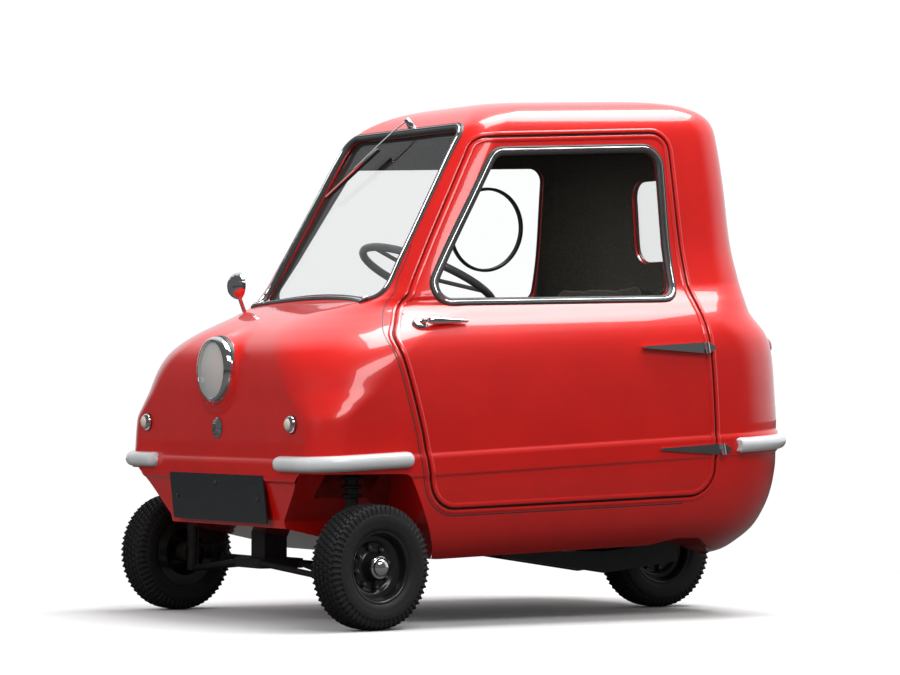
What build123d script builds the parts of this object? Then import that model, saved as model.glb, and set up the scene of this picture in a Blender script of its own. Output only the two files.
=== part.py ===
from build123d import *
import os
from math import atan2, cos, radians, sin

os.makedirs("parts", exist_ok=True)

# Three wheeled microcar, millimetres.
# Origin on the ground at the middle of the car, front towards -Y, the car's left towards +X.

# Driving dimensions of the whole car
WHEELBASE = 1068.0
FRONT_TRACK = 915.0
TYRE_RADIUS = 139.3
TYRE_WIDTH = 89.0
STEER_REST_DEG = 8.9
ROOF_HEIGHT = 1205.0
HALF_LENGTH = 680.0
HALF_WIDTH = 482.0
RAKE_DEG = 2.86
WALL = 12.0
OVERRUN = 40.0
SEAT_CLEARANCE = 0.3
RUNNING_CLEARANCE = 0.05

RAKE = radians(RAKE_DEG)
STEER = radians(STEER_REST_DEG)
FRONT_AXLE_Y = -WHEELBASE / 2
REAR_AXLE_Y = WHEELBASE / 2
AXLE_HEIGHT = TYRE_RADIUS

# Body sections, level with the raked waist, each row in shares:
# height of ROOF_HEIGHT, front and rear of HALF_LENGTH, half width, front corner radius and
# rear corner radius of HALF_WIDTH, and how far the inner skin moves down (up if minus) of WALL
tub_section_shares = [
    (0.304, -0.985, 0.978, 1.000, 0.135, 0.477, 0),
    (0.278, -0.973, 0.979, 0.997, 0.200, 0.477, 0),
    (0.241, -0.958, 0.974, 0.985, 0.350, 0.475, 0),
    (0.2075, -0.945, 0.964, 0.965, 0.415, 0.472, 0),
    (0.178, -0.935, 0.948, 0.935, 0.415, 0.465, -0.3),
    (0.149, -0.920, 0.930, 0.880, 0.400, 0.450, -0.6),
    (0.1245, -0.900, 0.899, 0.800, 0.370, 0.420, -0.9),
    (0.104, -0.870, 0.858, 0.700, 0.330, 0.370, -1),
    (0.0955, -0.840, 0.815, 0.600, 0.286, 0.320, -1),
]
shell_section_shares = [
    (0.304, -0.985, 0.978, 1.000, 0.135, 0.477, 0),
    (0.357, -0.985, 0.980, 1.001, 0.145, 0.477, 0),
    (0.407, -0.984, 0.973, 1.001, 0.165, 0.475, 0),
    (0.437, -0.983, 0.968, 1.000, 0.250, 0.470, 0),
    (0.465, -0.982, 0.963, 0.997, 0.338, 0.465, 0),
    (0.492, -0.978, 0.955, 0.992, 0.393, 0.455, 0),
    (0.5145, -0.971, 0.943, 0.984, 0.440, 0.445, 0.2),
    (0.533, -0.960, 0.925, 0.973, 0.485, 0.435, 0.4),
    (0.548, -0.943, 0.903, 0.958, 0.525, 0.420, 0.6),
    (0.561, -0.920, 0.883, 0.940, 0.560, 0.400, 0.8),
    (0.5735, -0.890, 0.868, 0.919, 0.590, 0.375, 0.9),
    (0.585, -0.850, 0.860, 0.896, 0.600, 0.345, 1),
    (0.597, -0.797, 0.855, 0.872, 0.585, 0.320, 1),
    (0.608, -0.738, 0.852, 0.848, 0.520, 0.300, 1),
    (0.619, -0.668, 0.850, 0.827, 0.390, 0.285, 0.8),
    (0.629, -0.610, 0.848, 0.812, 0.250, 0.278, 0.4),
    (0.640, -0.582, 0.846, 0.802, 0.200, 0.275, 0),
    (0.705, -0.510, 0.832, 0.761, 0.170, 0.270, 0),
    (0.830, -0.382, 0.815, 0.722, 0.158, 0.260, 0),
    (0.913, -0.297, 0.796, 0.695, 0.150, 0.250, 0),
    (0.934, -0.273, 0.789, 0.685, 0.150, 0.247, 0),
    (0.951, -0.250, 0.777, 0.670, 0.153, 0.244, 0.2),
    (0.967, -0.215, 0.753, 0.643, 0.162, 0.242, 0.5),
    (0.978, -0.184, 0.724, 0.607, 0.176, 0.240, 0.8),
    (0.987, -0.150, 0.686, 0.556, 0.190, 0.238, 1),
    (0.994, -0.110, 0.626, 0.475, 0.190, 0.225, 1),
    (0.9985, -0.065, 0.553, 0.375, 0.170, 0.195, 1),
    (1.000, -0.020, 0.490, 0.280, 0.140, 0.160, 1),
]

# Places of trim and openings in shares of the body's length, height and width
length_shares = {
    "prow": -0.96324,
    "door_front": -0.67647,
    "door_rear": 0.55588,
    "headlamp_seat": -0.97206,
    "headlamp_front": -1.01176,
    "front_skin": -0.98382,
    "tail_lamp": 1.00294,
    "front_bumper_end": -0.63235,
    "rear_bumper_end": 0.65147,
    "plate_top": -0.99265,
    "plate_bottom": -0.975,
    "rear_plate": 0.99412,
    "hinge_low": 0.58235,
    "hinge_high": 0.51618,
    "handle_front": -0.54853,
    "handle_rear": -0.39265,
    "mirror": -0.60882,
    "mirror_foot": -0.55882,
}
height_shares = {
    "door_bottom": 0.22075,
    "door_top": 0.94025,
    "screen_bottom": 0.60498,
    "screen_top": 0.93942,
    "rear_window_bottom": 0.70124,
    "rear_window_top": 0.87137,
    "headlamp": 0.47635,
    "lock": 0.36598,
    "side_lamp": 0.3751,
    "tail_lamp": 0.5278,
    "front_bumper_level": 0.33029,
    "rear_bumper_level": 0.31618,
    "rear_plate": 0.39834,
    "hinge_low": 0.32697,
    "hinge_high": 0.52199,
    "handle": 0.56763,
    "mirror": 0.6473,
    "mirror_foot": 0.58091,
    "wiper_pivot": 0.95436,
    "wiper_tip": 0.81743,
}
width_shares = {
    "side_lamp": 0.74896,
    "tail_lamp": 0.57676,
    "bumper_inner": 0.62033,
    "handle": 0.92739,
    "mirror": 0.79876,
}

# Belt split between the tub and the upper shell
BELT_SPLIT_DROP = 3.0
BELT_HEIGHT = tub_section_shares[0][0] * ROOF_HEIGHT - BELT_SPLIT_DROP

# Front wheel arches
ARCH_REAR_TOP_REACH = 97.0
ARCH_REAR_REACH = 192.0
ARCH_REAR_TOP_Y = FRONT_AXLE_Y + ARCH_REAR_TOP_REACH
ARCH_REAR_Y = FRONT_AXLE_Y + ARCH_REAR_REACH
ARCH_TOP = 344.0
ARCH_INNER_LOW_X = 283.0
ARCH_INNER_X = 330.0
ARCH_BEVEL_X = 400.0
ARCH_BEVEL_LOW = 237.0
ARCH_CORNER_RADIUS = 28.0
TOWER_TOP = 425.0
TOWER_HALF_LENGTH = 70.0
TOWER_OUTER_X = 458.0
TOWER_RADIUS = 20.0

# Underside, from the prow to the bulge around the rear wheel
PROW_BOTTOM = 222.0
PROW_Y = length_shares["prow"] * HALF_LENGTH
FLOOR_FRONT_Y = -330.0
FLOOR_FRONT = 150.0
FLOOR_REAR_Y = 250.0
FLOOR_REAR = 170.0
NOTCH_HEIGHT = 186.0
NOTCH_Y = 318.0
NOTCH_END_Y = 385.0
BULGE_START_Y = 430.0
BULGE_START = 165.0
BULGE_Y = 506.0
BULGE_BOTTOM = 143.5
TAIL_NOTCH_HALF_WIDTH = 230.0

# Rear wheel housing
REAR_HOUSE_RADIUS = 165.0
REAR_HOUSE_HALF_WIDTH = 84.0

# Door outline on the left side
DOOR_FRONT_Y = length_shares["door_front"] * HALF_LENGTH
DOOR_REAR_Y = length_shares["door_rear"] * HALF_LENGTH
DOOR_BOTTOM = height_shares["door_bottom"] * ROOF_HEIGHT
DOOR_TOP = height_shares["door_top"] * ROOF_HEIGHT
DOOR_GAP = 6.0
# Corners in shares of the door's length from its front and of its height, then the corner radius
# in shares of its length
door_corner_shares = [
    (0.000, 0.437, 0.04),
    (0.067, 0.200, 0.30),
    (0.108, 0.000, 0.075),
    (0.998, 0.028, 0.075),
    (1.000, 0.200, 0.20),
    (0.955, 1.000, 0.050),
    (0.340, 0.966, 0.055),
    (0.105, 0.547, 0.04),
]
# Side window in the door, and the longer one on the right: same columns
side_window_shares = [
    (0.150, 0.537, 0.035),
    (0.924, 0.557, 0.040),
    (0.920, 0.953, 0.045),
    (0.395, 0.926, 0.045),
]
right_window_shares = [
    (0.150, 0.537, 0.035),
    (1.054, 0.557, 0.040),
    (1.050, 0.953, 0.045),
    (0.395, 0.926, 0.045),
]
GLASS_THICKNESS = 5.0
GLASS_DEPTH = 5.5

# Windscreen and rear window
SCREEN_BOTTOM_HALF_WIDTH = 281.0
SCREEN_TOP_HALF_WIDTH = 259.0
SCREEN_BOTTOM = height_shares["screen_bottom"] * ROOF_HEIGHT
SCREEN_TOP = height_shares["screen_top"] * ROOF_HEIGHT
SCREEN_HUMP = 22.0
SCREEN_CORNER_RADIUS = 30.0
REAR_WINDOW_HALF_WIDTH = 115.0
REAR_WINDOW_BOTTOM = height_shares["rear_window_bottom"] * ROOF_HEIGHT
REAR_WINDOW_TOP = height_shares["rear_window_top"] * ROOF_HEIGHT
REAR_WINDOW_RADIUS = 45.0

# Headlamp, lock disc, side lamps and tail lamps
HEADLAMP_Z = height_shares["headlamp"] * ROOF_HEIGHT
HEADLAMP_SEAT_Y = length_shares["headlamp_seat"] * HALF_LENGTH
HEADLAMP_FRONT_Y = length_shares["headlamp_front"] * HALF_LENGTH
HEADLAMP_RADIUS = 77.0
COWL_LENGTH = 110.0
BEZEL_TAPER = 4.0
BEZEL_BACK = 6.0
LENS_RADIUS = 66.0
LENS_FIT = 0.3
LENS_SINK = 8.0
LENS_DOME = 12.0
FRONT_SKIN_Y = length_shares["front_skin"] * HALF_LENGTH
TRIM_REACH = 60.0
LOCK_Z = height_shares["lock"] * ROOF_HEIGHT
LOCK_RADIUS = 24.0
LOCK_PROUD = 9.0
SIDE_LAMP_X = width_shares["side_lamp"] * HALF_WIDTH
SIDE_LAMP_Z = height_shares["side_lamp"] * ROOF_HEIGHT
SIDE_LAMP_RADIUS = 20.0
SIDE_LAMP_PROUD = 18.0
SIDE_LAMP_DOME = 9.0
TAIL_LAMP_X = width_shares["tail_lamp"] * HALF_WIDTH
TAIL_LAMP_Z = height_shares["tail_lamp"] * ROOF_HEIGHT
TAIL_LAMP_Y = length_shares["tail_lamp"] * HALF_LENGTH
TAIL_LAMP_RADIUS = 28.0
TAIL_LAMP_DOME = 9.0

# Bumperettes, heights level with the raked waist
BUMPER_HEIGHT = 36.0
BUMPER_PROUD = 25.0
BUMPER_ROUND = 16.0
BUMPER_INNER_X = width_shares["bumper_inner"] * HALF_WIDTH
FRONT_BUMPER_LEVEL = height_shares["front_bumper_level"] * ROOF_HEIGHT
FRONT_BUMPER_END_Y = length_shares["front_bumper_end"] * HALF_LENGTH
REAR_BUMPER_LEVEL = height_shares["rear_bumper_level"] * ROOF_HEIGHT
REAR_BUMPER_END_Y = length_shares["rear_bumper_end"] * HALF_LENGTH

# Number plates
PLATE_WIDTH = 466.0
PLATE_HEIGHT = 108.0
PLATE_THICKNESS = 4.0
PLATE_ROUND = 6.0
PLATE_TOP_Y = length_shares["plate_top"] * HALF_LENGTH
PLATE_BOTTOM_Y = length_shares["plate_bottom"] * HALF_LENGTH
PLATE_Z = 283.0
PLATE_REACH = 60.0
PLATE_BRACKET_WIDTH = 30.0
PLATE_BRACKET_SHARE = 0.5
REAR_PLATE_Y = length_shares["rear_plate"] * HALF_LENGTH
REAR_PLATE_Z = height_shares["rear_plate"] * ROOF_HEIGHT

# Door hinges and handle
HINGE_PROUD = 10.0
HINGE_X = HALF_WIDTH + HINGE_PROUD
HINGE_LOW_Y = length_shares["hinge_low"] * HALF_LENGTH
HINGE_LOW_Z = height_shares["hinge_low"] * ROOF_HEIGHT
HINGE_HIGH_Y = length_shares["hinge_high"] * HALF_LENGTH
HINGE_HIGH_Z = height_shares["hinge_high"] * ROOF_HEIGHT
KNUCKLE_RADIUS = 6.0
KNUCKLE_LENGTH = 26.0
KNUCKLE_GAP = 0.6
HINGE_PIN_RADIUS = 3.0
SPEAR_PROUD = 8.0
SPEAR_TIP = 2.5
LOW_SPEAR = 171.0
HIGH_SPEAR = 171.0
BASE_SPEAR = 26.0
HANDLE_X = width_shares["handle"] * HALF_WIDTH
HANDLE_FRONT_Y = length_shares["handle_front"] * HALF_LENGTH
HANDLE_REAR_Y = length_shares["handle_rear"] * HALF_LENGTH
HANDLE_Z = height_shares["handle"] * ROOF_HEIGHT
HANDLE_RADIUS = 9.0
# Half profile of the handle: along its length, then out from its axis in shares of its radius
handle_shares = [(0, 0), (0.008, 0.40), (0.04, 0.78), (0.09, 0.97), (0.15, 1), (1, 0.33), (1, 0)]
HANDLE_POST_RADIUS = 6.0

# Mirror and wiper
MIRROR_X = width_shares["mirror"] * HALF_WIDTH
MIRROR_Y = length_shares["mirror"] * HALF_LENGTH
MIRROR_Z = height_shares["mirror"] * ROOF_HEIGHT
MIRROR_RADIUS = 33.0
MIRROR_DEPTH = 26.0
# Half profile of its head: back from the glass in shares of its depth, then out in shares of its radius
mirror_shares = [(0, 0), (0, 1), (0.3, 0.97), (0.6, 0.86), (0.85, 0.68), (1, 0.45), (1, 0)]
MIRROR_STEM_SHARE = 0.4
MIRROR_FOOT_Y = length_shares["mirror_foot"] * HALF_LENGTH
MIRROR_FOOT_Z = height_shares["mirror_foot"] * ROOF_HEIGHT
MIRROR_STEM_RADIUS = 5.0
WIPER_PIVOT_Z = height_shares["wiper_pivot"] * ROOF_HEIGHT
WIPER_TIP_X = -215.0
WIPER_TIP_Z = height_shares["wiper_tip"] * ROOF_HEIGHT
WIPER_GAP = 14.0
WIPER_ROOT_SHARE = 0.3
WIPER_ARM_RADIUS = 3.5
WIPER_BLADE_WIDTH = 7.0
WIPER_PIVOT_RADIUS = 9.0

# Wheels
RIM_RADIUS = 81.0
BEAD_RADIUS = 76.0
RIM_THICKNESS = 4.0
RIM_HALF_WIDTH = 33.0
HUB_RADIUS = 24.0
HUB_INNER_U = -30.0
HUB_OUTER_U = 34.0
DISC_U = 2.0
DISC_DISH = 8.0
DISC_RADIUS = 62.0
NUT_CIRCLE_RADIUS = 44.0
NUT_COUNT = 8
NUT_SIDES = 6
NUT_RADIUS = 6.0
NUT_HEIGHT = 10.0
TYRE_SHOULDER = 14.0
TYRE_ROUND = 13.0
TREAD_HALF_WIDTH = 36.0
CAP_ARC_SHARE = 1.05
AXLE_PIN_RADIUS = 9.0
CAP_RADIUS = 21.0
CAP_HEIGHT = 18.0

# Front suspension and steering
KINGPIN_OFFSET = 68.0
KINGPIN_RADIUS = 14.0
KINGPIN_BOTTOM = 112.0
KINGPIN_TOP = 205.0
LEG_RADIUS = 15.0
LEG_ROD_RADIUS = 7.0
LEG_ROD_DEPTH = 50.0
SPRING_BOTTOM = 294.0
SPRING_TOP = 414.0
SPRING_TURNS = 6
ARM_LENGTH = 92.0
ARM_WIDTH = 18.0
ARM_THICKNESS = 9.0
ARM_HEIGHT = 150.0
BALL_RADIUS = 7.0
TRACK_ROD_RADIUS = 7.0
TRACK_ROD_DROP = 22.0
BALL_BOSS = 9.0
BALL_BOSS_RADIUS = 12.0
OPEN_END_PLAY = 1.0
SPRING_WIRE = 4.0
WISHBONE_RADIUS = 7.0
WISHBONE_DROP = 3.5
WISHBONE_SPREAD = 48.0
CROSS_HALF_WIDTH = 66.0
CROSS_HALF_LENGTH = 58.0
CROSS_BOTTOM = 120.0
CROSS_THICKNESS = 22.0

# Steering wheel and column
STEERING_CENTRE_Y = -112.0
STEERING_CENTRE_Z = 795.0
STEERING_TILT_DEG = 25.0
STEERING_RADIUS = 165.0
STEERING_RIM_RADIUS = 9.5
STEERING_HUB_RADIUS = 24.0
STEERING_HUB_LENGTH = 30.0
SPOKE_RADIUS = 5.0
SPOKE_COUNT = 3
COLUMN_RADIUS = 15.0
COLUMN_PIN_RADIUS = 8.0
COLUMN_LENGTH = 720.0

# Seat
SEAT_HALF_WIDTH = 205.0
SEAT_FRONT_Y = 10.0
SEAT_REAR_Y = 372.0
SEAT_BASE = 345.0
SEAT_TOP = 425.0
SEAT_SOFTNESS = 22.0
BACK_THICKNESS = 62.0
BACK_TOP = 812.0
BACK_LEAN_DEG = 8.0
BOX_HALF_WIDTH = 200.0

# Engine, swing arm and rear spring
ENGINE_LENGTH = 200.0
ENGINE_WIDTH = 110.0
ENGINE_HEIGHT = 150.0
ENGINE_X = -125.0
ENGINE_Y = 190.0
ENGINE_BASE = 160.0
SWING_PIVOT_Y = 120.0
SWING_PIVOT_Z = 173.0
SWING_PLATE = 8.0
SWING_INNER_X = 54.0
SWING_TIP_Y = 58.0
SWING_TIP_Z = 133.5
SWING_TIP_HEIGHT = 16.0
SWING_ROUND = 6.5
BRACKET_DROP = 43.0
SWING_LOW_Y = 347.0
SWING_LOW_Z = 89.0
SWING_DEPTH = 52.0


def raked_plane(height):
    # Level with the raked waist, so the Y direction rises towards the rear
    return Plane(origin=(0, 0, height), x_dir=(1, 0, 0), z_dir=(0, -sin(RAKE), cos(RAKE)))


def draw_section(row, inset):
    height_share, front_share, rear_share, width_share, front_round_share, rear_round_share, drop_share = row
    front = front_share * HALF_LENGTH + inset
    rear = rear_share * HALF_LENGTH - inset
    half_width = width_share * HALF_WIDTH - inset
    front_round = front_round_share * HALF_WIDTH - inset
    rear_round = rear_round_share * HALF_WIDTH - inset
    height = height_share * ROOF_HEIGHT - drop_share * inset
    flat = half_width - front_round
    flat_rear = half_width - rear_round
    with BuildSketch(raked_plane(height)) as section:
        with BuildLine():
            Line((-flat, front), (flat, front))
            CenterArc((flat, front + front_round), front_round, -90, 90)
            Line((half_width, front + front_round), (half_width, rear - rear_round))
            CenterArc((flat_rear, rear - rear_round), rear_round, 0, 90)
            Line((flat_rear, rear), (-flat_rear, rear))
            CenterArc((-flat_rear, rear - rear_round), rear_round, 90, 90)
            Line((-half_width, rear - rear_round), (-half_width, front + front_round))
            CenterArc((-flat, front + front_round), front_round, 180, 90)
        make_face()
    return section.sketch


def arch_cutter(grow):
    # Room for one front wheel, on the left side
    with BuildPart() as cutter:
        with BuildSketch(Plane.YZ):
            with BuildLine():
                Polyline(
                    (-HALF_LENGTH - OVERRUN, -OVERRUN),
                    (-HALF_LENGTH - OVERRUN, ARCH_TOP + grow),
                    (ARCH_REAR_TOP_Y + grow, ARCH_TOP + grow),
                    (ARCH_REAR_Y + grow, FLOOR_FRONT),
                    (ARCH_REAR_Y + grow, -OVERRUN),
                    close=True,
                )
            make_face()
            fillet(vertices().group_by(Axis.Y)[-1], ARCH_CORNER_RADIUS + grow)
        extrude(amount=HALF_WIDTH + OVERRUN)
        with BuildSketch(Plane.XZ):
            with BuildLine():
                Polyline(
                    (ARCH_INNER_LOW_X - grow, -OVERRUN),
                    (ARCH_INNER_LOW_X - grow, ARCH_BEVEL_LOW),
                    (ARCH_BEVEL_X - grow, ARCH_TOP),
                    (ARCH_BEVEL_X - grow, ARCH_TOP + OVERRUN),
                    (HALF_WIDTH + OVERRUN, ARCH_TOP + OVERRUN),
                    (HALF_WIDTH + OVERRUN, -OVERRUN),
                    close=True,
                )
            make_face()
        extrude(amount=HALF_LENGTH + OVERRUN, both=True, mode=Mode.INTERSECT)
        with BuildSketch(Plane.XY.offset(ARCH_TOP - 2 * ARCH_CORNER_RADIUS)):
            with Locations(((ARCH_INNER_X + TOWER_OUTER_X) / 2, FRONT_AXLE_Y)):
                RectangleRounded(
                    TOWER_OUTER_X - ARCH_INNER_X + 2 * grow,
                    2 * TOWER_HALF_LENGTH + 2 * grow,
                    TOWER_RADIUS + grow,
                )
        extrude(amount=TOWER_TOP - ARCH_TOP + 2 * ARCH_CORNER_RADIUS + grow)
    return cutter.part


def underside_cutter(grow):
    # Everything under the floor line
    with BuildPart() as cutter:
        with BuildSketch(Plane.YZ):
            with BuildLine():
                Polyline(
                    (-HALF_LENGTH - OVERRUN, -OVERRUN),
                    (-HALF_LENGTH - OVERRUN, PROW_BOTTOM + grow),
                    (PROW_Y, PROW_BOTTOM + grow),
                    (FLOOR_FRONT_Y, FLOOR_FRONT + grow),
                    (FLOOR_REAR_Y, FLOOR_REAR + grow),
                    (NOTCH_Y, NOTCH_HEIGHT + grow),
                    (NOTCH_END_Y, NOTCH_HEIGHT + grow),
                    (BULGE_START_Y, BULGE_START + grow),
                    (BULGE_Y + grow, BULGE_BOTTOM),
                    (BULGE_Y + grow, -OVERRUN),
                    close=True,
                )
            make_face()
        extrude(amount=HALF_WIDTH + OVERRUN, both=True)
        with BuildSketch(Plane.XY.offset(-OVERRUN)):
            with Locations((0, NOTCH_Y + HALF_LENGTH / 2)):
                Rectangle(2 * (TAIL_NOTCH_HALF_WIDTH + grow), HALF_LENGTH)
        extrude(amount=NOTCH_HEIGHT + grow + OVERRUN)
    return cutter.part


def rear_house_cutter(grow):
    with BuildPart() as cutter:
        with BuildSketch(Plane.YZ):
            with Locations((REAR_AXLE_Y, AXLE_HEIGHT)):
                Circle(REAR_HOUSE_RADIUS + grow)
            with Locations((REAR_AXLE_Y, AXLE_HEIGHT / 2 - OVERRUN)):
                Rectangle(2 * (REAR_HOUSE_RADIUS + grow), AXLE_HEIGHT + 2 * OVERRUN)
        extrude(amount=REAR_HOUSE_HALF_WIDTH + grow, both=True)
    return cutter.part


def body_block(table, inset):
    left_arch = arch_cutter(inset)
    with BuildPart() as block:
        loft(sections=[draw_section(row, inset) for row in table], ruled=True)
        add(left_arch, mode=Mode.SUBTRACT)
        add(mirror(left_arch, about=Plane.YZ, mode=Mode.PRIVATE), mode=Mode.SUBTRACT)
        add(underside_cutter(inset), mode=Mode.SUBTRACT)
        add(rear_house_cutter(inset), mode=Mode.SUBTRACT)
    return block.part


def side_point(length_share, height_share):
    y = DOOR_FRONT_Y + length_share * (DOOR_REAR_Y - DOOR_FRONT_Y)
    z = DOOR_BOTTOM + height_share * (DOOR_TOP - DOOR_BOTTOM)
    return y, z


def rounded_face(corners, radii):
    # Closed face with its own radius at each corner
    with BuildSketch() as face:
        with BuildLine():
            Polyline(*corners, close=True)
        make_face()
        for corner, radius in zip(corners, radii):
            fillet(face.vertices().sort_by_distance((corner[0], corner[1], 0))[0], radius)
    return face.sketch


def draw_outline(shares, grow):
    # Closed outline on the YZ plane, grown outwards
    corners = [side_point(length_share, height_share) for length_share, height_share, _ in shares]
    radii = [radius_share * (DOOR_REAR_Y - DOOR_FRONT_Y) for _, _, radius_share in shares]
    with BuildSketch(Plane.YZ) as outline:
        add(rounded_face(corners, radii))
        if grow:
            offset(amount=grow)
    return outline.sketch


# Rows of the table between which the cabin's walls are nearly flat
WALL_LOW_ROW = 17
WALL_HIGH_ROW = 19


def slope_between(column, size):
    # Sideways travel of one column for each millimetre of height
    low_row = shell_section_shares[WALL_LOW_ROW]
    high_row = shell_section_shares[WALL_HIGH_ROW]
    return (high_row[column] - low_row[column]) * size / ((high_row[0] - low_row[0]) * ROOF_HEIGHT)


# Planes of the cabin's walls, from the same section table
cabin_low = shell_section_shares[WALL_LOW_ROW]
CABIN_LOW_HEIGHT = cabin_low[0] * ROOF_HEIGHT
SIDE_SLOPE = slope_between(3, HALF_WIDTH)
SCREEN_SLOPE = slope_between(1, HALF_LENGTH)
BACK_SLOPE = slope_between(2, HALF_LENGTH)
side_normal = Vector(1, sin(RAKE) * SIDE_SLOPE, -SIDE_SLOPE).normalized()
screen_normal = Vector(0, -1, SCREEN_SLOPE).normalized()
back_normal = Vector(0, 1, -BACK_SLOPE).normalized()


def side_wall_x(y, z):
    # Outer face of the cabin's left wall
    return cabin_low[3] * HALF_WIDTH + SIDE_SLOPE * (z - sin(RAKE) * y - CABIN_LOW_HEIGHT)


def screen_wall_y(z):
    y_at_low = cabin_low[1] * HALF_LENGTH
    return (y_at_low + SCREEN_SLOPE * (z - CABIN_LOW_HEIGHT)) / (1 + SCREEN_SLOPE * sin(RAKE))


def back_wall_y(z):
    y_at_low = cabin_low[2] * HALF_LENGTH
    return (y_at_low + BACK_SLOPE * (z - CABIN_LOW_HEIGHT)) / (1 + BACK_SLOPE * sin(RAKE))


window_y = (side_point(side_window_shares[0][0], 0)[0] + side_point(side_window_shares[1][0], 0)[0]) / 2
window_z = (side_point(0, side_window_shares[0][1])[1] + side_point(0, side_window_shares[2][1])[1]) / 2
window_origin = Vector(side_wall_x(window_y, window_z), window_y, window_z)
side_glass_plane = Plane(origin=window_origin, x_dir=(0, 1, 0), z_dir=side_normal)


def side_window_block(table, grow, depth, thickness):
    # Slab parallel to the cabin's left wall, its outer face at the given depth inside it
    with BuildPart() as block:
        with BuildSketch(side_glass_plane.offset(-depth)):
            corners = []
            for length_share, height_share, _ in table:
                y, z = side_point(length_share, height_share)
                spot = side_glass_plane.to_local_coords(Vector(side_wall_x(y, z), y, z))
                corners.append((spot.X, spot.Y))
            radii = [share * (DOOR_REAR_Y - DOOR_FRONT_Y) for _, _, share in table]
            add(rounded_face(corners, radii))
            if grow:
                offset(amount=grow)
        extrude(amount=-thickness)
    return block.part


screen_middle = (SCREEN_BOTTOM + SCREEN_TOP) / 2
screen_plane = Plane(
    origin=(0, screen_wall_y(screen_middle), screen_middle), x_dir=(1, 0, 0), z_dir=screen_normal
)


def screen_block(grow, depth, thickness):
    low = (SCREEN_BOTTOM - screen_middle) / screen_plane.y_dir.Z
    high = (SCREEN_TOP - screen_middle) / screen_plane.y_dir.Z
    with BuildPart() as block:
        with BuildSketch(screen_plane.offset(-depth)):
            with BuildLine():
                Line((SCREEN_BOTTOM_HALF_WIDTH, low), (SCREEN_TOP_HALF_WIDTH, high))
                Line((SCREEN_TOP_HALF_WIDTH, high), (-SCREEN_TOP_HALF_WIDTH, high))
                Line((-SCREEN_TOP_HALF_WIDTH, high), (-SCREEN_BOTTOM_HALF_WIDTH, low))
                ThreePointArc(
                    (-SCREEN_BOTTOM_HALF_WIDTH, low), (0, low + SCREEN_HUMP), (SCREEN_BOTTOM_HALF_WIDTH, low)
                )
            make_face()
            fillet(vertices(), SCREEN_CORNER_RADIUS)
            if grow:
                offset(amount=grow)
        extrude(amount=-thickness)
    return block.part


rear_window_middle = (REAR_WINDOW_BOTTOM + REAR_WINDOW_TOP) / 2
rear_window_plane = Plane(
    origin=(0, back_wall_y(rear_window_middle), rear_window_middle), x_dir=(-1, 0, 0), z_dir=back_normal
)


def rear_window_block(grow, depth, thickness):
    with BuildPart() as block:
        with BuildSketch(rear_window_plane.offset(-depth)):
            RectangleRounded(
                2 * REAR_WINDOW_HALF_WIDTH + 2 * grow,
                REAR_WINDOW_TOP - REAR_WINDOW_BOTTOM + 2 * grow,
                REAR_WINDOW_RADIUS + grow,
            )
        extrude(amount=-thickness)
    return block.part


# Outer blocks, which the trim also seats on, and the skins that are left round the cabin
tub_block = body_block(tub_section_shares, 0)
shell_block = body_block(shell_section_shares, 0)
with BuildPart() as cowl_block:
    add(shell_block)
    with BuildSketch(Plane.XZ.offset(-HEADLAMP_SEAT_Y)):
        with Locations((0, HEADLAMP_Z)):
            Circle(HEADLAMP_RADIUS)
    extrude(amount=-COWL_LENGTH)
    with BuildSketch(Plane.XZ.offset(-HEADLAMP_SEAT_Y)):
        with Locations((0, HEADLAMP_Z)):
            Circle(HEADLAMP_RADIUS + SEAT_CLEARANCE)
    extrude(amount=COWL_LENGTH, mode=Mode.SUBTRACT)
shell_block = cowl_block.part
with BuildPart() as tub_skin:
    add(tub_block)
    add(body_block(tub_section_shares, WALL), mode=Mode.SUBTRACT)
with BuildPart() as shell_skin:
    add(shell_block)
    add(body_block(shell_section_shares, WALL), mode=Mode.SUBTRACT)

with BuildPart() as door_prism:
    extrude(to_extrude=draw_outline(door_corner_shares, 0), amount=HALF_WIDTH + OVERRUN)
with BuildPart() as door_hole:
    extrude(to_extrude=draw_outline(door_corner_shares, DOOR_GAP), amount=HALF_WIDTH + OVERRUN)

# Lower tub
with BuildPart() as lower_tub:
    add(tub_skin.part)
    add(door_hole.part, mode=Mode.SUBTRACT)

# Upper shell with its window openings
left_window_cut = side_window_block(side_window_shares, 0, -OVERRUN, 2 * OVERRUN)
right_window_cut = mirror(side_window_block(right_window_shares, 0, -OVERRUN, 2 * OVERRUN), about=Plane.YZ)
with BuildPart() as upper_shell:
    add(shell_skin.part)
    add(door_hole.part, mode=Mode.SUBTRACT)
    add(screen_block(0, -OVERRUN, 2 * OVERRUN), mode=Mode.SUBTRACT)
    add(rear_window_block(0, -OVERRUN, 2 * OVERRUN), mode=Mode.SUBTRACT)
    add(right_window_cut, mode=Mode.SUBTRACT)

# Door, cut from both skins and joined along the belt
with BuildPart() as door_upper:
    add(shell_skin.part)
    add(door_prism.part, mode=Mode.INTERSECT)
    add(left_window_cut, mode=Mode.SUBTRACT)
with BuildPart() as door_lower:
    add(tub_skin.part)
    add(door_prism.part, mode=Mode.INTERSECT)
with BuildPart() as door:
    add(door_upper.part)
    add(door_lower.part)

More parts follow.
